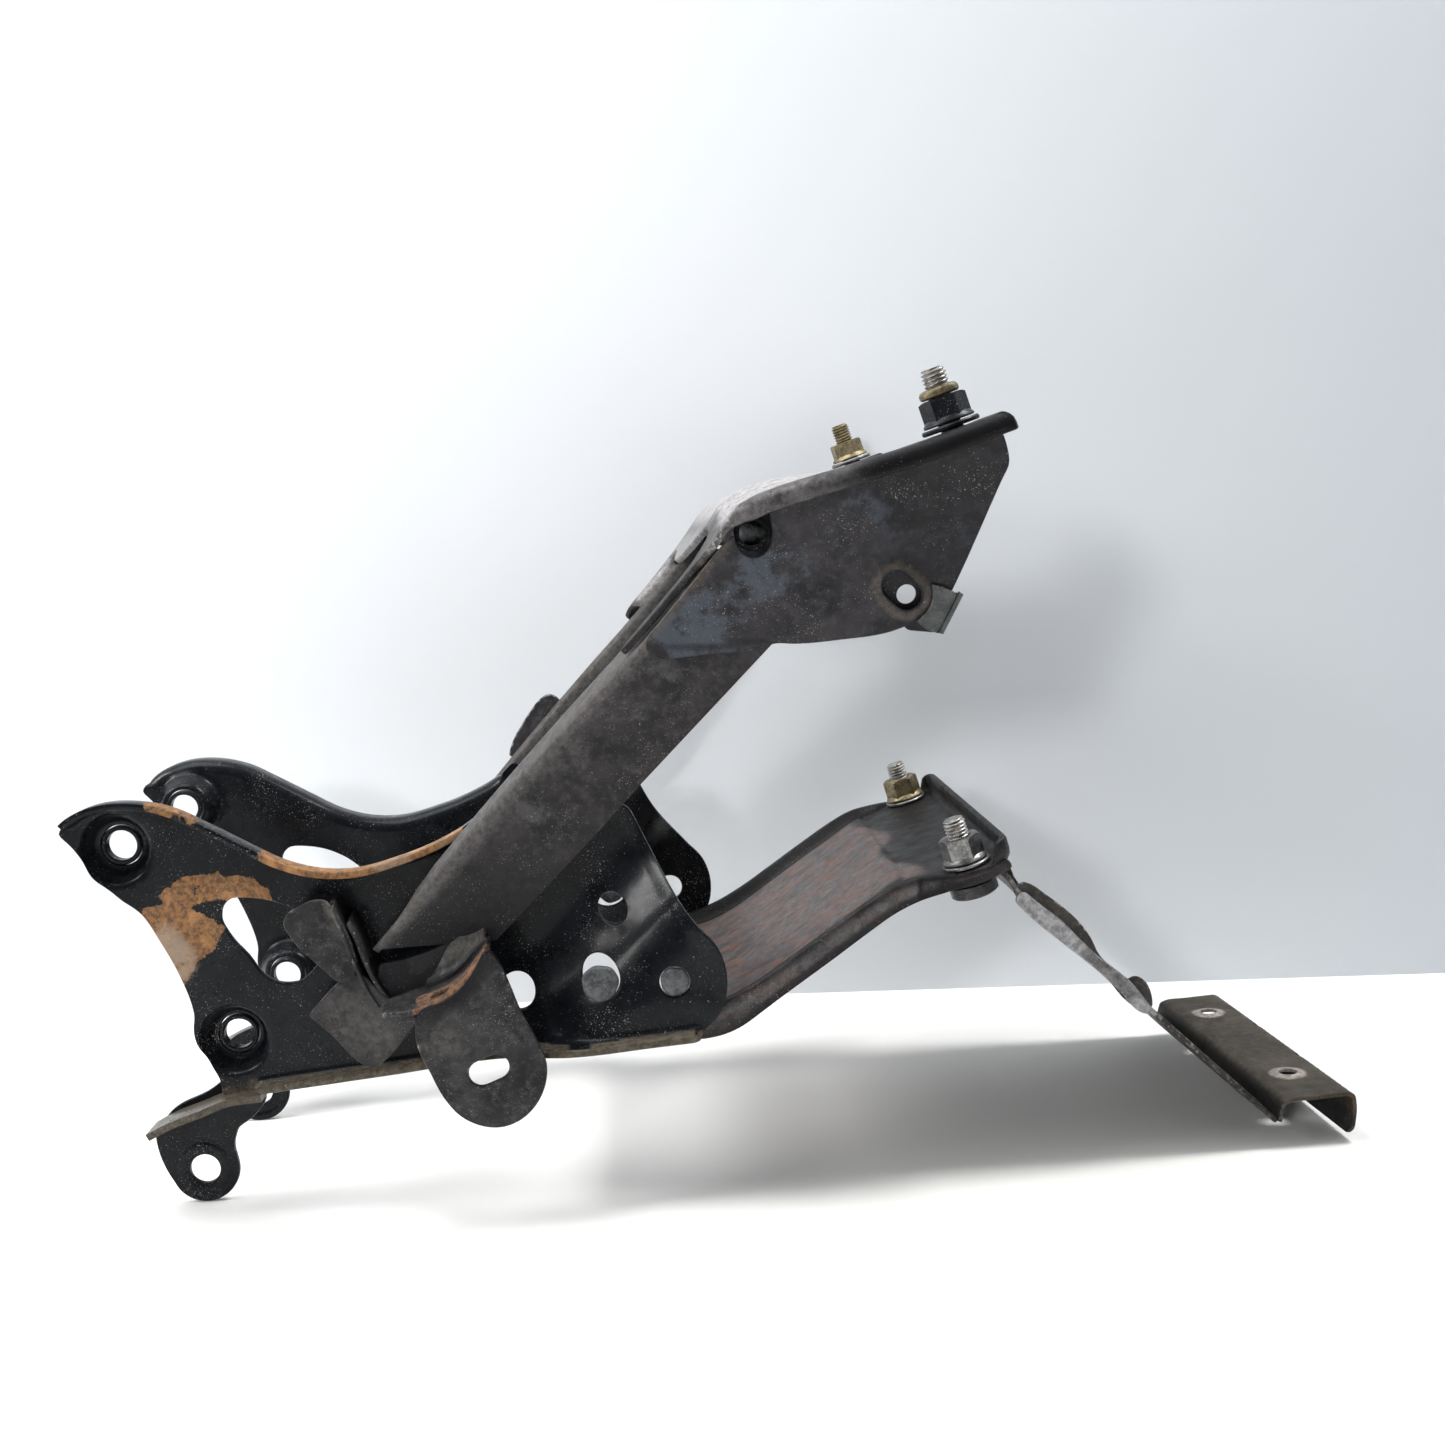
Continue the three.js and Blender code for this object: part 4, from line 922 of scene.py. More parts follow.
right = [[uend, 130], [uend, 103.5], [uu[267], 102.6], [uu[249], 102.0], [uu[231] + 6, 100], [uu[231] + 1.0, 92], [uu[231], 80]]
mid_low = [[uu[205], 80], [uu[205] - 1, leg_b(uu[205]) - 4], [uu[205] - 4, leg_b(uu[205] - 4)], [uu[196], leg_b(uu[196])], [uu[186] + 3, leg_b(uu[186] + 3)], [uu[186] - 7, 112], [uu[186] - 7, 118.6], [uu[186], 119.6], [uu[205], 120.5], [uu[212] - 1, 123.5], [uu[218.2] - 3, 130]]
near_low = [[uu[205] + 1, 60], [uu[212] - 1, 96], [uu[212], 108], [uu[212] - 1.5, 115.4], [uu[205], 116.2], [uu[196], 116.2], [uu[186] + 3, 116.2], [uu[186] - 7, 116.6]] + mid_low[6:8] + [[uu[205], 121.5], [uu[212] - 3, 126], [uu[218.2] - 3, 130]]
outl = right + [[p[0], -p[1]] for p in right[::-1]] + [[p[0], -p[1]] for p in near_low[::-1]] + mid_low
br_out = smooth_line(outl, 1.6, corner=30, soft=1.5)


def br_flange(lp):
    u, b = lp[:, 0], np.abs(lp[:, 1])
    outer = sstep(127.6, 129.4, b) * sstep(uu[212] - 3, uu[218.2] + 2, u)
    legs = (1 - sstep(uu[205] - 7, uu[205] - 3, u)) * sstep(uu[186] - 2, uu[186] + 4, u) * (b < 118) * (b > 70) * (lp[:, 1] > 0)
    end = sstep(uend - 2.2, uend - 0.8, u)
    inner = (b > 97) * (b < 106) * sstep(uu[231] + 8, uu[231] + 14, u)
    g = np.clip(outer + legs + end + inner, 0, 1)
    F = np.where(legs > 0.3, 6.5 + 6.5 * sstep(uu[186] - 2, uu[186] + 9, u), 6.6)
    F = np.where((end > 0.5) & (outer < 0.5), 6.0, F)
    F = np.where((inner > 0.4) & (end < 0.5), 5.4, F)
    return F, g


def br_bump(p):
    u, b = p[:, 0], np.abs(p[:, 1])
    crown = 3.4 * (1 - sstep(uu[224], uu[249] + 4, u)) * (1 - sstep(104, 129.5, b)) - 1.2 * (1 - sstep(uu[205], uu[218.2], u)) * sstep(108, 119, b)
    seat = sum(0.5 * (1 - sstep(9.6, 11.2, np.hypot(u - stud_uv(1)[0], p[:, 1] - q))) for q in (stud_uv(1)[1], stud_uv(-1)[1]))
    return -crown + 0.5 * seat


def stud_uv(s):
    x, z = U_STUD[0], U_STUD[1]
    u = u_at(x)
    return u, s * 120 / float(bridge_out(z)) * 130


def br_masks(v):
    p = v[:, [0, 2]]
    y = np.abs(v[:, 1])
    wear = 0.28 * blob(p, [[200, 232], [212, 249], [224, 260], [238, 265]], 12)
    # tan: worn crown and legs with a painted highlight where they face the light; on the near leg it is cut back as
    # painted shade
    worn_crown_and_highlight = np.maximum(0.55 * blob(p, [[192, 223], [205, 240]], 10), 1.0 * blob(p, [[216, 257], [230, 263], [244, 268]], 9))
    lipz = sstep(1.2, 3.2, bridge_out(v[:, 2]) - y)
    return {"rust": 0.1 + 0 * wear, "wear": wear * (0.3 + 0.7 * lipz), "tan": worn_crown_and_highlight * (0.25 + 0.75 * lipz) * (1 - 0.7 * (v[:, 1] < -100) * (p[:, 0] < 213)), "shade": np.maximum(0.85 * sstep(246, 266, p[:, 0]) + 0.35 * (1 - lipz), 0.85 * (v[:, 1] < -96) * (1 - sstep(206, 212, p[:, 0])))}


holes = [circle(*stud_uv(s), 4.3, 36) for s in (1, -1)]
P = Parts()
P.add(*sheet(br_out, holes, 2.4, br_map, re=0.7, grid=3.2, bump=br_bump, flange=br_flange, ri=1.8))
P.done("top_bridge_sheet", M_BRIDGE, ["top_bridge"], slot="worn_light_steel", masks=br_masks)

v, f = lathe([(3.9, -117.2), (5.1, -117.2), (5.6, -116.7), (5.6, 116.7), (5.1, 117.2), (3.9, 117.2)], 48)
v = np.stack([223 + v[:, 0], v[:, 2], 247.6 + v[:, 1]], 1)
Parts().add(v, f).done("cross_tube_round", M_PLATE, ["cross_tube"], slot="black_paint", masks=lambda q: {"rust": np.zeros(len(q)), "wear": np.full(len(q), 0.1)}, sharp=30)

# ------------------------------------------------------------------ rear tray
TB = [[196, 76], [212, 76.5], [219, 79], [229, 84.6], [243, 94.8], [257.5, 105.6], [271, 115.4], [278, 120.6], [285, 124.7], [290, 126.2], [296, 128.1]]
TL = [[188, 70.9], [209, 70.6], [217, 72.2], [223, 75], [229, 79.5], [239.4, 87.4], [257.1, 100.5], [267.2, 108.2], [277.6, 115.6], [287, 120.2], [297.5, 124.2]]
TT = [[188, 79], [205, 80], [219, 85.5], [229, 91.3], [243, 101.4], [257.5, 112.1], [271, 121.6], [279, 126.2], [287, 128.2], [297.5, 129.6]]
nt_ = 70
st = np.linspace(0, 1, nt_)
tb = at_share(smooth_line(TB, 2, closed=False, corner=60, soft=2.5), st)
tl = at_share(smooth_line(TL, 2, closed=False, corner=60, soft=2.5), st)
tt = at_share(smooth_line(TT, 2, closed=False, corner=60, soft=2.5), st)
tn = np.gradient(tb, axis=0)
tn /= np.linalg.norm(tn, axis=1)[:, None]
nup = np.stack([-tn[:, 1], tn[:, 0]], 1)
rows = []
for i in range(nt_):
    b, l, t_ = tb[i], tl[i], tt[i]
    raise_ = 2.4 * (sstep(0.07, 0.13, st[i]) - sstep(0.865, 0.895, st[i]))
    pr = b + nup[i] * raise_
    fl = 2.7 * float(sstep(283, 297, t_[0]))
    pts = [[l[0], 72.4 + fl, l[1]], [t_[0], 72.4 + fl, t_[1]], [t_[0], 68.6 + fl, t_[1]], [b[0], 65.0 + fl, b[1]], [b[0], 59.6, b[1]], [pr[0], 57.4, pr[1]], [pr[0], 0, pr[1]]]
    rad = [2.4, 1.5, 4.0, 1.2, 1.2]
    right_ = fillet_path(pts, rad, [4, 1, 2, 1, 1, 14], arc=5)
    left_ = (right_ * np.array([1, -1, 1]))[::-1][1:]
    rows.append(np.concatenate([right_, left_]))
G = np.array(rows)
gv, gf = grid_shell(G, 2.2)
h = len(gv) // 2
midc = G.shape[1] // 2
if (gv[h:].reshape(G.shape)[:, midc, 2] - G[:, midc, 2]).mean() > 0:
    gv, gf = grid_shell(G, 2.2, flip=True)


def tray_masks(v):
    p = v[:, [0, 2]]
    y = np.abs(v[:, 1])
    end_x = 283 + 5 * np.sin(v[:, 1] * 0.09) - 0.03 * v[:, 1]
    inpan = (1 - sstep(56.5, 58.5, y)) * (1 - sstep(end_x - 1.5, end_x + 1.5, p[:, 0]))
    groove = sstep(57.0, 59.0, y) * (1 - sstep(60.5, 64.5, y)) * (1 - sstep(278, 286, p[:, 0]))
    dtop = dist_line(p, np.array(TT, float))
    wall = (y > 66)
    # painted highlight: a lighter band along the near wall's rolled top, which faces the light
    lit_wall_band = wall * sstep(1.5, 3.0, dtop) * (1 - sstep(5.0, 7.0, dtop)) * (p[:, 0] < 292)
    padz = sstep(end_x, end_x + 2, p[:, 0])
    dlow = dist_line(p, np.array(TL, float))
    shade = np.clip(0.95 * groove + 0.9 * sstep(61, 63, y) * (1 - sstep(69.4, 70.4, y)) * (p[:, 0] < 294) + 0.95 * padz * (y < 72.6) + wall * 0.85 * (1 - sstep(1.2, 3.4, dlow)) + 0.5 * wall * (1 - sstep(0.6, 1.6, dtop)) + 0.5 * padz * wall, 0, 1)
    return {"rust": 0.05 + 0.06 * inpan, "wear": 0.1 * inpan, "tan": 0.75 * inpan + 0.6 * lit_wall_band, "panel": inpan, "shade": shade}


def pad_frame():
    a = np.array([283, 124.35])
    b = np.array([316, 135.07])
    d = unit(b - a)
    return a, d, np.array([-d[1], d[0]])


pa, pd, pn = pad_frame()
plen = float(np.linalg.norm(np.array([316, 135.07]) - pa))


def pad_map(a, b, w):
    # a along the slope, b across, w = 0 the underside, up past the top
    return np.stack([pa[0] + pd[0] * a + pn[0] * (w - T), b, pa[1] + pd[1] * a + pn[1] * (w - T)], 1)


def pad_flange(lp):
    g = sstep(plen - 6.5, plen - 2.0, lp[:, 0])
    return 9.0 + 0.8 * sstep(plen - 3.0, plen + 1.5, lp[:, 0]), g


stud_a = float((np.array([L_STUD[0], L_STUD[1]]) - pa) @ pd)
P = Parts()
P.add(gv, gf)
pad_out = smooth_line([[-0.5, -71.6], [2.5, -72.0], [6.5, -73.2], [10.5, -74.8], [14, -75.5], [plen - 3.5, -75.5], [plen + 0.3, -74.2], [plen + 2.2, -70.2], [plen + 2.2, 70.2], [plen + 0.3, 74.2], [plen - 3.5, 75.5], [14, 75.5], [10.5, 74.8], [6.5, 73.2], [2.5, 72.0], [-0.5, 71.6]], 1.4, corner=20, soft=1.6)
P.add(*sheet(pad_out, [circle(stud_a, s * L_STUD[2], 4.3, 36) for s in (1, -1)], T, pad_map, re=1.1, grid=3.2, flange=pad_flange, ri=2.4))
for s in (1, -1):
    side = smooth_line([[292, 126.9], [300, 129.5], [316, 134.7], [317.6, 131.6], [308, 126.8], [300, 124.4], [294, 123.4]], 1.4, soft=1.0)
    P.add(*sheet(side, [], T, (lambda a, b, w, s=s: np.stack([a, s * (PAD_HALF - T + w), b], 1)), re=0.8, grid=3.0))
P.done("rear_tray_pressing", M_TRAY, ["rear_tray"], slot="worn_dark_steel", masks=tray_masks, bevel=0.4)


# ------------------------------------------------------------------ studs, washers, nuts
def thread(r, z0, z1, pitch=1.25, n=40):
    k = int((z1 - z0) / pitch * 10)
    zz = np.linspace(z0, z1, k + 1)
    th = np.arange(n) / n * 2 * math.pi
    v = []
    v.append(np.stack([np.full(n, 0.01) * np.cos(th), 0.01 * np.sin(th), np.full(n, z0)], 1))
    for z in zz:
        ph = (z / pitch - th / (2 * math.pi)) % 1.0
        tri = 1 - np.abs(2 * ph - 1)
        depth = 0.72 * np.clip(tri * 1.25 - 0.12, 0, 1)
        fade = np.clip((z1 - z) / 1.2, 0, 1)
        rr = (r - depth) * (0.86 + 0.14 * fade)
        v.append(np.stack([rr * np.cos(th), rr * np.sin(th), np.full(n, z)], 1))
    v.append(np.stack([0.01 * np.cos(th), 0.01 * np.sin(th), np.full(n, z1 + 0.0)], 1))
    m = len(v)
    v = np.concatenate(v)
    f = []
    for a in range(m - 1):
        for i in range(n):
            j = (i + 1) % n
            f.append((a * n + i, a * n + j, (a + 1) * n + j, (a + 1) * n + i))
    f.append(tuple(range(n))[::-1])
    f.append(tuple(range((m - 1) * n, m * n)))
    return v, f


def hexa(af, z0, z1, bore=None, n=120, top=True, bottom=True):
    R = af / 2 / math.cos(math.pi / 6)

    def rad(th):
        q = (th + math.pi / 6) % (math.pi / 3) - math.pi / 6
        return af / 2 / np.cos(q)

    th = np.arange(n) / n * 2 * math.pi
    rh = rad(th)
    drop = np.maximum(rh - af / 2 * 0.99, 0) * 0.62
    inner = bore if bore else 0.01
    rings = []
    rings.append((np.full(n, inner), np.full(n, z0 + (0.5 if bore else 0))))
    rings.append((np.full(n, inner + (0.6 if bore else 0)), np.full(n, z0)))
    rings.append((np.full(n, af / 2 * 0.93), np.full(n, z0)))
    rings.append((rh, np.full(n, z0) + (drop if bottom else 0)))
    rings.append((rh, np.full(n, z1) - (drop if top else 0)))
    rings.append((np.full(n, af / 2 * 0.93), np.full(n, z1)))
    rings.append((np.full(n, inner + (0.6 if bore else 0)), np.full(n, z1)))
    rings.append((np.full(n, inner), np.full(n, z1 - (0.5 if bore else 0))))
    v = np.concatenate([np.stack([r * np.cos(th), r * np.sin(th), h], 1) for r, h in rings])
    m = len(rings)
    f = []
    for k in range(m):
        q = (k + 1) % m
        for i in range(n):
            j = (i + 1) % n
            f.append((k * n + i, k * n + j, q * n + j, q * n + i))
    return v, f


hw_mask = lambda q: {"rust": np.full(len(q), 0.1), "wear": np.full(len(q), 0.1)}
for tag, sg in SIDES:
    up = (U_STUD[0], sg * U_STUD[2], U_STUD[1])
    lp_ = (L_STUD[0], sg * L_STUD[2], L_STUD[1])
    near = sg < 0
    spin_u = 0.35 if near else 0.1
    P = Parts()
    v, f = thread(4.0, -3.0, 19.4 if near else 18.2)
    P.add(placed(v, up, 20), f)
    v, f = hexa(13, -7.2, -2.7)
    P.add(placed(v, up, 20, 0.2), f)
    P.done(f"upper_stud_thread_{tag}", M_BOLT if near else M_GOLD, [f"upper_stud_{tag}"], slot="zinc_steel" if near else "yellow_zinc_steel", masks=hw_mask, sharp=32)
    v, f = lathe([(4.3, 0.35), (8.7, 0.3), (9.2, 0.7), (9.2, 1.4), (8.8, 1.9), (4.3, 1.9)], 72)
    Parts().add(placed(v, up, 20), f).done(f"upper_washer_disc_{tag}", M_NUT if near else M_ZINC, [f"upper_washer_{tag}"], body=f"upper_{tag}_washer", slot="black_paint", masks=hw_mask, sharp=30)
    P = Parts()
    v, f = lathe([(4.3, 2.2), (7.7, 2.2), (8.2, 2.6), (8.0, 3.2), (6.9, 4.3), (4.3, 4.3)], 72)
    P.add(placed(v, up, 20), f)
    v, f = hexa(13, 3.8, 10.4 if near else 10.2, 4.3, bottom=False)
    P.add(placed(v, up, 20, spin_u), f)
    P.done(f"upper_nut_hex_{tag}", M_NUT if near else M_GOLD, [f"upper_nut_{tag}"], body=f"upper_{tag}_nut", slot="black_paint" if near else "yellow_zinc_steel", masks=hw_mask, sharp=28)
    if near:
        v, f = lathe([(4.3, 10.7), (5.6, 10.7), (6.2, 11.2), (6.2, 12.4), (5.7, 13.2), (5.0, 13.6), (4.3, 13.6)], 64, lambda th, r, h: r * (1 + (0.035 * np.sin(5 * th) + 0.02 * np.sin(11 * th + h)) * (r > 5)))
        Parts().add(placed(v, up, 20), f).done("lock_collar_ring_left", M_COLLAR, ["lock_collar_left"], body="upper_left_nut", slot="yellow_zinc_steel", masks=hw_mask, sharp=40)
    P = Parts()
    v, f = thread(4.0, -7.9, 17.6)
    P.add(placed(v, lp_, 18), f)
    v, f = lathe([(0.01, -10.6), (7.9, -10.6), (8.6, -10.0), (8.6, -6.2), (8.1, -5.7), (0.01, -5.7)], 64)
    P.add(placed(v, lp_, 18), f)
    P.done(f"lower_stud_thread_{tag}", M_BOLT, [f"lower_stud_{tag}"], slot="zinc_steel", masks=lambda q: {"rust": np.full(len(q), 0.12), "wear": np.full(len(q), 0.08), "shade": 0.9 * ((q[:, 2] - L_STUD[1]) * math.cos(math.radians(18)) - (q[:, 0] - L_STUD[0]) * math.sin(math.radians(18)) < -3)}, sharp=32)
    v, f = lathe([(4.3, 0.35), (8.1, 0.3), (8.6, 0.7), (8.6, 1.3), (8.2, 1.7), (4.3, 1.7)], 72)
    Parts().add(placed(v, lp_, 18), f).done(f"lower_washer_disc_{tag}", M_ZINC, [f"lower_washer_{tag}"], body=f"lower_{tag}_washer", slot="zinc_steel", masks=hw_mask, sharp=30)
    P = Parts()
    v, f = lathe([(4.3, 2.0), (7.5, 2.0), (8.0, 2.4), (7.8, 3.0), (6.8, 4.0), (4.3, 4.0)], 72)
    P.add(placed(v, lp_, 18), f)
    v, f = hexa(13, 3.5, 11, 4.3, bottom=False)
    P.add(placed(v, lp_, 18, 0.25 if near else 0.5), f)
    P.done(f"lower_nut_hex_{tag}", M_ZINC if near else M_GOLD, [f"lower_nut_{tag}"], body=f"lower_{tag}_nut", slot="zinc_steel" if near else "yellow_zinc_steel", masks=hw_mask, sharp=28)

# ------------------------------------------------------------------ bent strips that follow a line in the side view
class Bend:
    """A sheet bent along a line: a runs along the line, b across the carrier, w out of its left-hand side."""

    def __init__(self, pts, step=0.8, corner=75, soft=1.2):
        self.q = smooth_line(pts, step, closed=False, corner=corner, soft=soft)
        self.d = np.r_[0, np.cumsum(np.linalg.norm(np.diff(self.q, axis=0), axis=1))]
        t = np.gradient(self.q, axis=0)
        self.t = t / np.linalg.norm(t, axis=1)[:, None]
        self.length = self.d[-1]

    def at(self, x):
        return float(np.interp(x, self.q[:, 0], self.d))

    def point(self, a):
        over = np.minimum(a, 0) + np.maximum(a - self.length, 0)
        x, z = np.interp(a, self.d, self.q[:, 0]), np.interp(a, self.d, self.q[:, 1])
        tx, tz = np.interp(a, self.d, self.t[:, 0]), np.interp(a, self.d, self.t[:, 1])
        return x + tx * over, z + tz * over, tx, tz

    def map(self, thick, tw=None, dz=None):
        def f(a, b, w):
            x, z, tx, tz = self.point(a)
            v = np.stack([x - tz * (w - thick), b, z + tx * (w - thick)], 1)
            if dz is not None:
                v[:, 2] += dz(b)
            return v if tw is None else tw(v)

        return f


def twist(v):
    k = np.clip((v[:, 0] - 324) / 94, 0, 1) * ((v[:, 1] + 65) / 130)
    return np.stack([v[:, 0] - 3 * k, v[:, 1], v[:, 2] - 2.4 * k], 1)


def flat(y0):
    return lambda a, b, w: np.stack([a, y0 + w, b], 1)


# ------------------------------------------------------------------ left arm bracket and hanging tab
P = Parts()
upper = smooth_line([[62.4, 111.4], [63.4, 114.8], [68.5, 118.2], [73.4, 120.4], [77.0, 120.0], [79.4, 116.8], [82.6, 112.0], [86.0, 104.4], [87.6, 96.6], [86.4, 90.6], [82.4, 89.8], [76.0, 94.6], [68.4, 102.4]], 1.2, corner=50, soft=1.2)
P.add(*sheet(upper, [], T, (lambda a, b, w: np.stack([a, 61.5 + w + 1.6 * sstep(78.5, 74.0, a + 0.35 * (120 - b)), b], 1)), re=0.7, grid=2.2))
tongue = smooth_line([[69.8, 78.4], [77.3, 71.6], [90.4, 59.2], [92.6, 58.6], [95.4, 60.6], [108.3, 75.4], [106.6, 79.6], [101.6, 82.0], [96.0, 86.0], [89.4, 92.6], [85.0, 94.0], [78.6, 88.2]], 1.2, corner=50, soft=1.0)
P.add(*sheet(tongue, [], T, (lambda a, b, w: np.stack([a, 61.2 + w, b], 1)), re=0.7, grid=2.4))
web = Bend([[79.2, 118.6], [82.2, 111.6], [85.2, 104.0], [88.2, 95.6], [92.4, 86.0], [96.4, 79.6]], 1.2, soft=2)
P.add(*sheet(smooth_line([[0, 44], [web.length, 44], [web.length, 57.5], [0, 57.5]], 1.4, soft=0.8), [], T, web.map(T), re=0.6, grid=2.4))
P.add(*sheet(smooth_line([[0.5, 57.0], [web.length, 57.0], [web.length - 2, 64.8], [web.length * 0.5, 66.0], [1.5, 65.2]], 1.2, soft=0.6), [], 1.1, web.map(1.1), re=0.35, grid=2.0))
web2 = Bend([[84.4, 113.4], [88.4, 105.6], [91.4, 97.0], [95.6, 88.4], [99.2, 82.6]], 1.2, soft=2)
P.add(*sheet(smooth_line([[0, 46], [web2.length, 46], [web2.length, 63.0], [web2.length * 0.5, 64.2], [2, 63.2]], 1.2, soft=0.6), [], 1.6, web2.map(1.6), re=0.4, grid=2.0))
back = smooth_line([[93, 84], [94.5, 96], [101, 97], [111, 100], [121, 104], [126.5, 105], [127.5, 98.5], [121, 92], [110, 86.5], [101, 82.0], [97, 80.6]], 1.4, soft=1.0)
P.add(*sheet(back, [], 1.8, (lambda a, b, w: np.stack([a, 58.6 + w, b], 1)), re=0.5, grid=2.6))
SHELF = [[96.9, 81.0], [104.5, 83.6], [110.7, 85.4], [118.3, 88.4], [124.0, 92.0], [129.0, 97.6], [133.4, 103.6]]
shelf = Bend(SHELF, 1.0, soft=2.0)
sh_out = smooth_line([[0, 64.0], [shelf.length, 61.8], [shelf.length + 0.4, 77.6], [shelf.length * 0.5, 79.4], [shelf.length * 0.25, 79.0], [0, 74.0]], 1.2, soft=0.8)
sh_a = shelf.at(118.0)
sh_hole = np.stack([sh_a + 3.6 * np.cos(np.arange(28) / 28 * 2 * math.pi), 73.6 + 1.9 * np.sin(np.arange(28) / 28 * 2 * math.pi)], 1)
P.add(*sheet(sh_out, [sh_hole], 2.2, shelf.map(2.2, dz=lambda b: 3.2 * (78.3 - b) / 15.1), re=0.7, grid=2.0, flange=None))
rows = []
for a in np.linspace(shelf.length * 0.36, shelf.length, 22):
    x, z, _, _ = shelf.point(np.array(a))
    z0 = z + 3.2 * (78.3 - 66.5) / 15.1 + 0.2
    grow = float(sstep(shelf.length * 0.36, shelf.length * 0.62, a))
    sec = []
    for k in range(7):
        t = k / 6 * math.pi / 2
        sec.append([x - 1.5 * (k / 6) * grow, 61.2 + (66.5 - 61.2) * (1 - math.sin(t)), z0 + (2.0 + 8.5 * grow) * (1 - math.cos(t))])
    rows.append(sec)
gv, gf = grid_shell(np.array(rows), 1.2)
P.add(gv, gf, np.full(len(gv), 0.3))


def bracket_masks(v):
    p = v[:, [0, 2]]
    y = np.abs(v[:, 1])
    onshelf = sstep(67.5, 69.5, y) * (p[:, 1] > 79)
    fold = 1 - sstep(0.5, 2.2, np.hypot(p[:, 0] - 78.6 - 0.3 * (118 - p[:, 1]), 0.5 * np.maximum(112 - p[:, 1], 0)))
    fil = (y < 67) * (p[:, 0] > 104) * (p[:, 1] > 90) * sstep(0, 3, p[:, 1] - (0.62 * (p[:, 0] - 101) + 84))
    return {"rust": 0.08 + 0.85 * onshelf * sstep(106, 111, p[:, 0]) * sstep(68.5, 71, y), "wear": 0.1 + 0.0 * y, "tan": np.clip(0.75 * fold + 0.75 * fil + 0.4 * blob(p, [[84, 78], [94, 70]], 8) * (y > 62), 0, 1), "shade": (y < 61) * 0.9 + 0.7 * (p[:, 0] > 93) * (p[:, 1] > 80) * (y > 60) * (y < 62.3) * (1 - fil)}


P.done("arm_bracket_folded", M_TAB, ["arm_bracket_left"], slot="worn_dark_steel", masks=bracket_masks, mirror=True)
tab = smooth_line([[133.4, 104.8], [136.6, 105.0], [139.2, 100.2], [145.8, 84.2], [152.4, 71.7], [154.7, 65.6], [154.4, 58.4], [151.2, 50.9], [145.4, 45.2], [138.2, 42.7], [131.3, 43.6], [124.6, 47.2],
                   [119.8, 52.8], [114.5, 63.2], [110.5, 72.3], [109.9, 78.0], [111.4, 84.4], [118.3, 87.2], [124.0, 90.8], [128.8, 96.4]], 1.2, corner=55, soft=0.9)
P = Parts()
P.add(*sheet(tab, [slot_loop(134.9, 63.4, 2.8, 4.5, 0.42, 16)], T, (lambda a, b, w: np.stack([a, 78.6 + w - 2.2 * sstep(80, 96, b + 0.35 * (a - 130)), b], 1)), re=0.7, grid=2.4))
P.done("hanging_tab_plate", M_TAB, ["hanging_tab_left"], slot="worn_dark_steel", masks=lambda v: {"rust": 0.08 + 0.0 * v[:, 0], "wear": 0.1 + 0.1 * blob(v[:, [0, 2]], [[114, 76], [120, 68]], 6), "tan": 0.25 * blob(v[:, [0, 2]], [[116, 72], [122, 76]], 5), "shade": 0.95 * (1 - sstep(3.0, 8.0, dist_line(v[:, [0, 2]], np.array(SHELF, float))))}, mirror=True)

# ------------------------------------------------------------------ clip on the right arm
lug = smooth_line([[129.4, 151.2], [131.2, 157.4], [134.4, 163.5], [139.4, 171.2], [142.9, 175.4], [147.0, 177.4], [151.4, 175.0], [154, 171], [136, 151]], 1.2, corner=60, soft=1.2)
P = Parts()
P.add(*sheet(lug, [], 2.4, (lambda a, b, w: np.stack([a, arm_out(b) - 11 + w, b], 1)), re=0.6, grid=2.2))
P.done("arm_clip_lug", M_ARM, ["arm_clip_right"], slot="worn_dark_steel", masks=lambda v: {"rust": 0.15 + 0.0 * v[:, 0], "wear": 0.2 + 0.0 * v[:, 0]})

# ------------------------------------------------------------------ rear hanger
HT = 2.0
hang = Bend([[289, 123.0], [300, 126.6], [312.2, 130.5], [316.4, 128.6], [324, 119.9], [371, 78.1], [420.4, 34.4]], 1.0, corner=75, soft=1.6)
hl = hang.length
a_drop = hang.at(316.4)
ho = [[1.0, 70], [3, 72.2], [a_drop - 6, 72.2], [a_drop - 1, 63.6], [hl + 3.6, 64.5], [hl + 0.5, -64.5], [a_drop - 1, -63.6], [a_drop - 6, -72.2], [3, -72.2], [1.0, -70]]
P = Parts()
ha = hang.at(L_STUD[0] + 0.9)
P.add(*sheet(smooth_line(ho, 1.4, corner=20, soft=1.0), [circle(ha, s * L_STUD[2], 4.3, 36) for s in (1, -1)], HT, hang.map(HT, twist), re=0.6, grid=3.0))
flg = smooth_line([[320.8, 116.9], [321.6, 119.6], [324.2, 120.8], [330.5, 115.6], [337.9, 110.0], [344.6, 103.2], [351, 97.2], [357.7, 92.0], [363.3, 87.5], [369.0, 80.7], [371.9, 76.9], [371.0, 74.9], [369.1, 75.1], [359.7, 83.6], [352.2, 90.6], [337.4, 102.5], [328.1, 110.0]], 1.2, corner=60, soft=0.9)
brn = smooth_line([[320.4, 120.6], [323.8, 124.0], [327.6, 122.6], [331.2, 120.0], [337.8, 115.2], [343.8, 109.9], [349.1, 103.2], [352.6, 96.5], [357.4, 91.8], [363.1, 87.0], [364.4, 88.4], [366.6, 88.6], [369.6, 86.7], [371.9, 82.5], [372.8, 76.9], [369.6, 76.5], [352.2, 91.4], [337.4, 103.4], [324, 114.6]], 1.2, corner=60, soft=0.9)
for s in (1, -1):
    P.add(*sheet(flg, [], 1.7, (lambda a, b, w, s=s: twist(np.stack([a, s * (63.7 + w), b], 1))), re=0.6, grid=2.4))
    P.add(*sheet(brn, [], 1.7, (lambda a, b, w, s=s: twist(np.stack([a, s * (61.6 + w), b], 1))), re=0.6, grid=2.4))


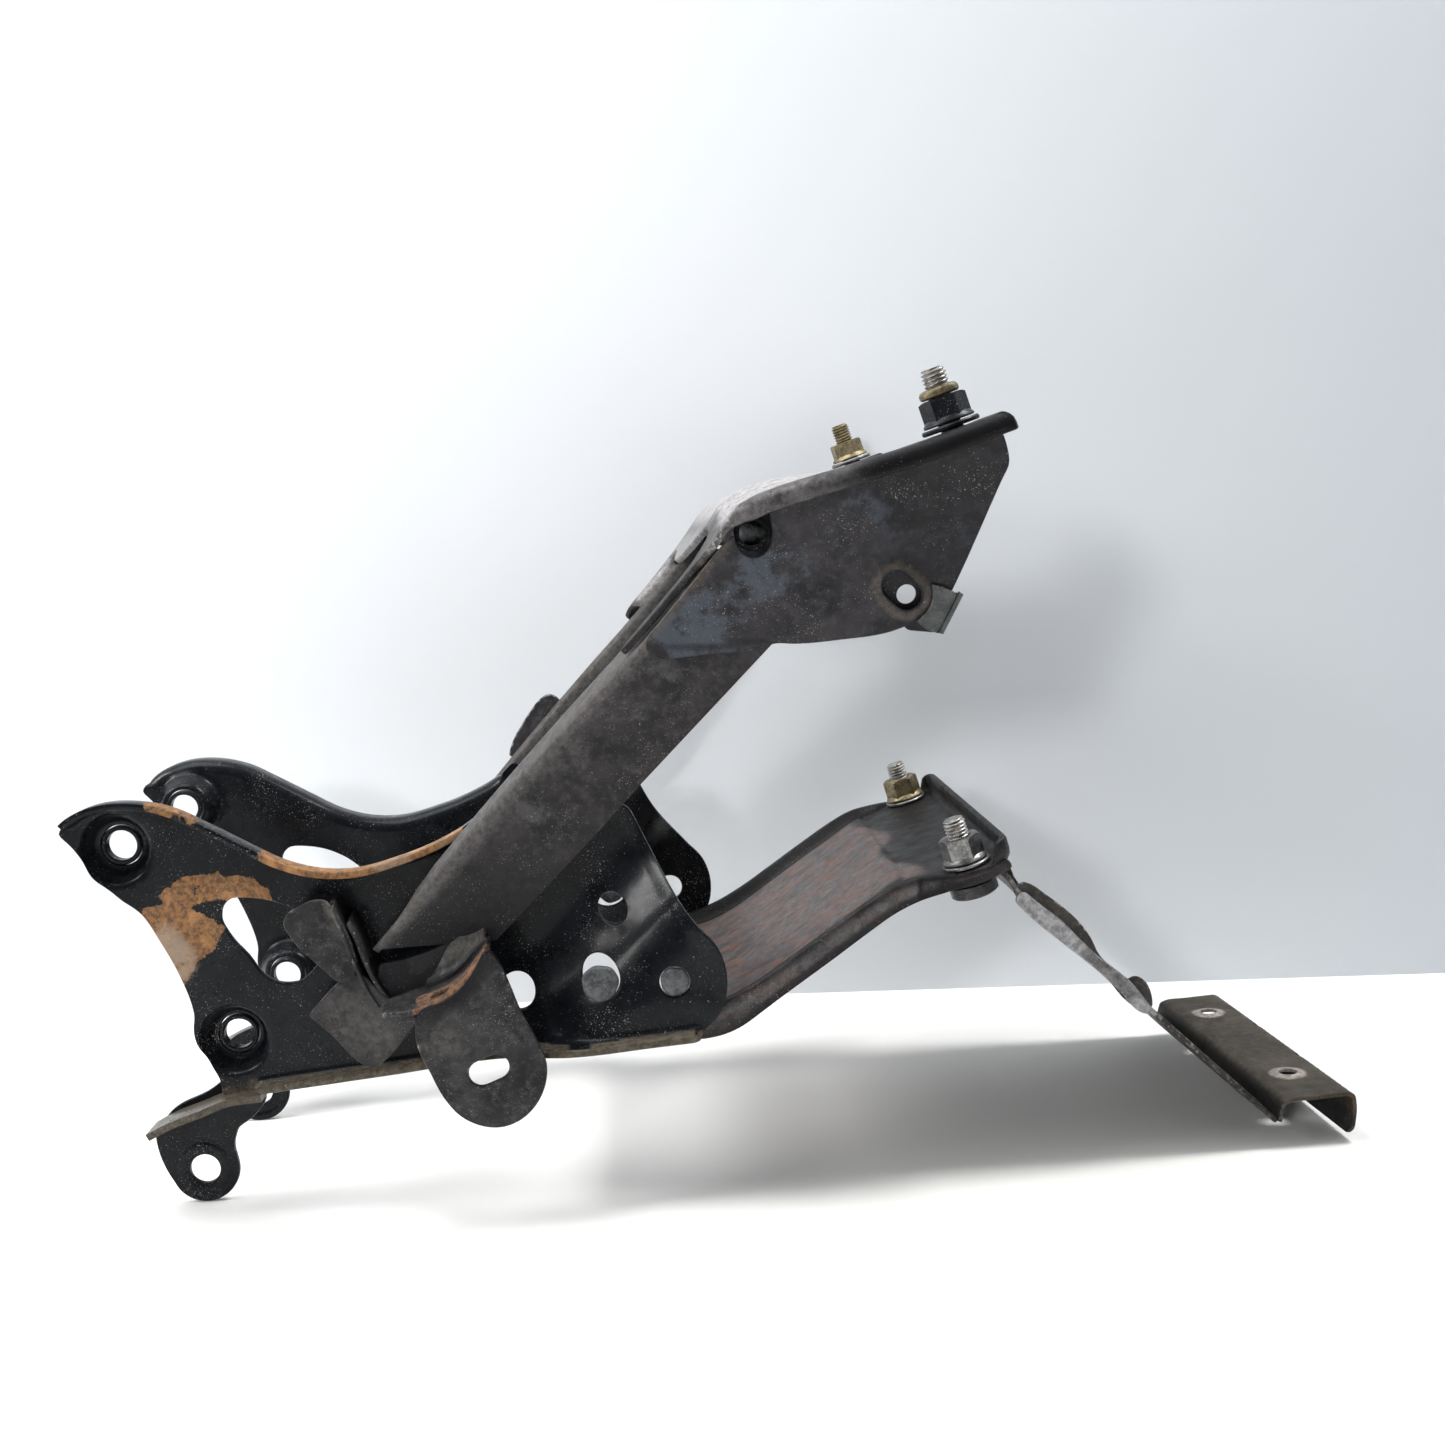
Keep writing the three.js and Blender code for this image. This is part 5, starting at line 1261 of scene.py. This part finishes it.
def hanger_masks(v):
    y = np.abs(v[:, 1])
    light = sstep(63.5, 63.9, y) * (v[:, 0] > 319) * (v[:, 0] < 373.5)
    p = v[:, [0, 2]]
    return {"rust": 0.12 + 0.2 * (1 - light), "wear": 0.1 + 0.1 * light, "tan": light * (0.95 - 0.5 * blob(p, [[350, 96], [362, 84]], 5)), "shade": np.maximum(0.25 * (v[:, 0] < 322), 0.7 * sstep(384, 415, v[:, 0]))}


P.done("rear_hanger_strip", M_HANGER, ["rear_hanger"], slot="worn_dark_steel", masks=hanger_masks)

# ------------------------------------------------------------------ rear cross channel
CHT = 1.6
chan = Bend([[420.0, 33.2], [420.6, 38.0], [421.4, 41.2], [424, 42.3], [432, 43.15], [446.0, 44.6], [448.6, 43.3], [449.2, 40], [448.6, 27.4]], 0.6, corner=30, soft=0.45)
cl = chan.length
a_h, a_n = chan.at(434.0), chan.at(447.6)
holes = [np.stack([a_h + 3.3 * np.cos(t_), s * 40 + 3.3 * np.sin(t_)], 1) for s in (1, -1) for t_ in [np.arange(32) / 32 * 2 * math.pi]]
holes += [slot_loop(a_n + 0.8, s * 20, 0.6, 2.3, 0.0, 12) for s in (1, -1)]


def chan_bump(p):
    h = np.zeros(len(p))
    for s in (1, -1):
        r = np.hypot(p[:, 0] - a_h, (p[:, 1] - s * 40))
        h += 0.9 * (1 - sstep(3.4, 7.4, r))
    return h


co = smooth_line([[0.3, -65], [cl - 3, -65], [cl - 0.3, -62], [cl - 0.3, 62], [cl - 3, 65], [0.3, 65]], 1.4, corner=20, soft=0.7)
P = Parts()
P.add(*sheet(co, holes, CHT, chan.map(CHT, twist), re=0.5, grid=2.6, bump=chan_bump, feats=[circle(a_h, s * 40, r, 36) for s in (1, -1) for r in (4.0, 4.8, 5.6, 6.4, 7.2, 8.0)]))


def chan_masks(v):
    ring = np.zeros(len(v))
    dark = np.zeros(len(v))
    for s in (1, -1):
        k = 3.0 * (s * 40 + 65) / 130
        r = np.hypot(v[:, 0] + k - 434.0, v[:, 1] - s * 40)
        ring = np.maximum(ring, (1 - sstep(5.6, 7.6, r)) * (v[:, 2] > 36))
    k = 3.0 * (v[:, 1] + 65) / 130
    front = 1 - sstep(421.4, 423.0, v[:, 0] + k)
    under = (v[:, 2] < 36) * (v[:, 0] + k > 430)
    top = (1 - front) * (v[:, 2] > 36)
    return {"rust": 0.2 + 0.3 * top * (1 - ring), "wear": 0.15 * front + 0.1 * ring, "tan": 0.9 * ring, "shade": np.clip(0.72 * front + 0.9 * under, 0, 1)}


P.done("rear_channel_rail", M_CHANNEL, ["rear_cross_channel"], slot="worn_dark_steel", masks=chan_masks)

# ------------------------------------------------------------------ camera
F_PX, YAW, PITCH = 1560.0, math.radians(2.64), math.radians(6.97)
CAM = (191.5, -604.0, 248.0)
fwd = np.array([math.sin(YAW) * math.cos(PITCH), math.cos(YAW) * math.cos(PITCH), -math.sin(PITCH)])
rgt = np.array([math.cos(YAW), -math.sin(YAW), 0.0])
upv = np.cross(rgt, fwd)
fr, rr_, ur = rot_row(fwd), rot_row(rgt), rot_row(upv)
loc = to_row(np.array(CAM))
cam_data = bpy.data.cameras.new("camera")
cam_data.sensor_width = 36
cam_data.lens = 36 * F_PX / 1445
cam_data.clip_start, cam_data.clip_end = 0.01, 20
cam = bpy.data.objects.new("camera", cam_data)
cam.matrix_world = Matrix([[rr_[0], ur[0], -fr[0], loc[0]], [rr_[1], ur[1], -fr[1], loc[1]], [rr_[2], ur[2], -fr[2], loc[2]], [0, 0, 0, 1]])
bpy.context.scene.collection.objects.link(cam)
bpy.context.scene.camera = cam


def floor_hit(px, py):
    d = fr + (px - 722.5) / F_PX * rr_ + (722.5 - py) / F_PX * ur
    t = -loc[2] / d[2]
    return loc + d * t


# ------------------------------------------------------------------ floor, wall, light
def stage_mat(name, col, see_through_with_painted_falloff=False, rough=0.75):
    m = bpy.data.materials.new(name)
    m.use_nodes = True
    nt = m.node_tree
    N, L = nt.nodes, nt.links
    bs = N["Principled BSDF"]
    bs.inputs["Roughness"].default_value = rough
    bs.inputs["Specular IOR Level"].default_value = 0.15
    tc = N.new("ShaderNodeTexCoord")
    n = N.new("ShaderNodeTexNoise")
    n.inputs["Scale"].default_value = 3.0
    n.inputs["Detail"].default_value = 5
    L.new(tc.outputs["Object"], n.inputs["Vector"])
    mx = N.new("ShaderNodeMix")
    mx.data_type = "RGBA"
    L.new(n.outputs["Fac"], mx.inputs[0])
    mx.inputs[6].default_value = (*[c * 0.97 for c in col], 1)
    mx.inputs[7].default_value = (*col, 1)
    L.new(mx.outputs[2], bs.inputs["Base Color"])
    if see_through_with_painted_falloff:
        # painted shade: the wall darkens and cools towards +x, standing in for the light falling off to the right
        sx = N.new("ShaderNodeSeparateXYZ")
        L.new(tc.outputs["Object"], sx.inputs[0])
        painted_falloff_ramp = N.new("ShaderNodeMapRange")
        painted_falloff_ramp.interpolation_type = "SMOOTHSTEP"
        L.new(sx.outputs[0], painted_falloff_ramp.inputs[0])
        painted_falloff_ramp.inputs[1].default_value, painted_falloff_ramp.inputs[2].default_value = -0.12, 0.5
        painted_falloff_mix = N.new("ShaderNodeMix")
        painted_falloff_mix.data_type = "RGBA"
        L.new(painted_falloff_ramp.outputs[0], painted_falloff_mix.inputs[0])
        L.new(mx.outputs[2], painted_falloff_mix.inputs[6])
        painted_falloff_mix.inputs[7].default_value = (*[c * k_ for c, k_ in zip(col, (0.7, 0.72, 0.745))], 1)
        L.new(painted_falloff_mix.outputs[2], bs.inputs["Base Color"])
        g = N.new("ShaderNodeNewGeometry")
        tr = N.new("ShaderNodeBsdfTransparent")
        ms = N.new("ShaderNodeMixShader")
        L.new(g.outputs["Backfacing"], ms.inputs[0])
        L.new(bs.outputs[0], ms.inputs[1])
        L.new(tr.outputs[0], ms.inputs[2])
        L.new(ms.outputs[0], N["Material Output"].inputs[0])
    return m


def quad(name, pts, mat):
    me = bpy.data.meshes.new(name)
    me.from_pydata([list(map(float, p)) for p in pts], [], [(0, 1, 2, 3)])
    me.update()
    me.materials.append(mat)
    o = bpy.data.objects.new(name, me)
    bpy.context.scene.collection.objects.link(o)
    return o


p1, p2 = floor_hit(210, 1012), floor_hit(1445, 973)
wdir = (p2 - p1)[:2] / np.linalg.norm((p2 - p1)[:2])
wl, wr = p1[:2] - wdir * 3, p1[:2] + wdir * 3.5
nrm_w = np.array([wdir[1], -wdir[0]])
if nrm_w[1] > 0:
    nrm_w = -nrm_w
far_l, far_r = wl, wr
quad("floor", [[-4, -4, 0], [5, -4, 0], [5, 4, 0], [-4, 4, 0]], stage_mat("table", (0.86, 0.855, 0.835)))
# face order makes the normal look at the camera
wall = quad("wall", [[wl[0], wl[1], 0], [wr[0], wr[1], 0], [wr[0], wr[1], 3], [wl[0], wl[1], 3]], stage_mat("wall_paint", (0.76, 0.785, 0.815), see_through_with_painted_falloff=True))
if wall.data.polygons[0].normal.y > 0:
    wall.data.flip_normals()


def area(name, loc_, target, size, power, col=(1, 1, 1), size_y=None):
    d = bpy.data.lights.new(name, "AREA")
    d.energy = power
    d.color = col
    d.shape = "RECTANGLE" if size_y else "SQUARE"
    d.size = size
    if size_y:
        d.size_y = size_y
    o = bpy.data.objects.new(name, d)
    o.location = loc_
    o.rotation_mode = "QUATERNION"
    o.rotation_quaternion = (Vector(target) - Vector(loc_)).to_track_quat("-Z", "Y")
    bpy.context.scene.collection.objects.link(o)
    return o


area("key", (-0.46, -1.28, 0.51), (0.09, -0.05, 0.2), 0.13, 5.5, (1.0, 0.995, 0.985)).visible_glossy = False
area("left", (-1.0, -0.12, 0.75), (0.0, 0.05, 0.1), 0.35, 7, (1.0, 0.99, 0.98))
area("top", (0.56, 0.08, 1.16), (0.05, -0.02, 0.0), 0.42, 19, (1.0, 0.995, 0.98))
area("wall_wash", (-0.5, -0.1, 1.15), (-0.22, 0.3, 0.25), 0.7, 8, (0.97, 0.985, 1.0))
w = bpy.data.worlds.new("studio")
w.use_nodes = True
wt = w.node_tree
wn, wl_ = wt.nodes, wt.links
wtc = wn.new("ShaderNodeTexCoord")
wsep = wn.new("ShaderNodeSeparateXYZ")
wl_.new(wtc.outputs["Generated"], wsep.inputs[0])
wr_ = wn.new("ShaderNodeMapRange")
wr_.inputs[1].default_value, wr_.inputs[2].default_value = -0.95, 0.35
wr_.inputs[3].default_value, wr_.inputs[4].default_value = 0.07, 0.36
wadd = wn.new("ShaderNodeMath")
wadd.operation = "MULTIPLY_ADD"
wl_.new(wsep.outputs[2], wadd.inputs[0])
wadd.inputs[1].default_value = 0.75
wl_.new(wsep.outputs[1], wadd.inputs[2])
wl_.new(wadd.outputs[0], wr_.inputs[0])
wn["Background"].inputs[0].default_value = (0.95, 0.97, 1.0, 1)
wl_.new(wr_.outputs[0], wn["Background"].inputs[1])
bpy.context.scene.world = w
bpy.context.scene.view_settings.view_transform = "Standard"
bpy.context.scene.view_settings.look = "None"
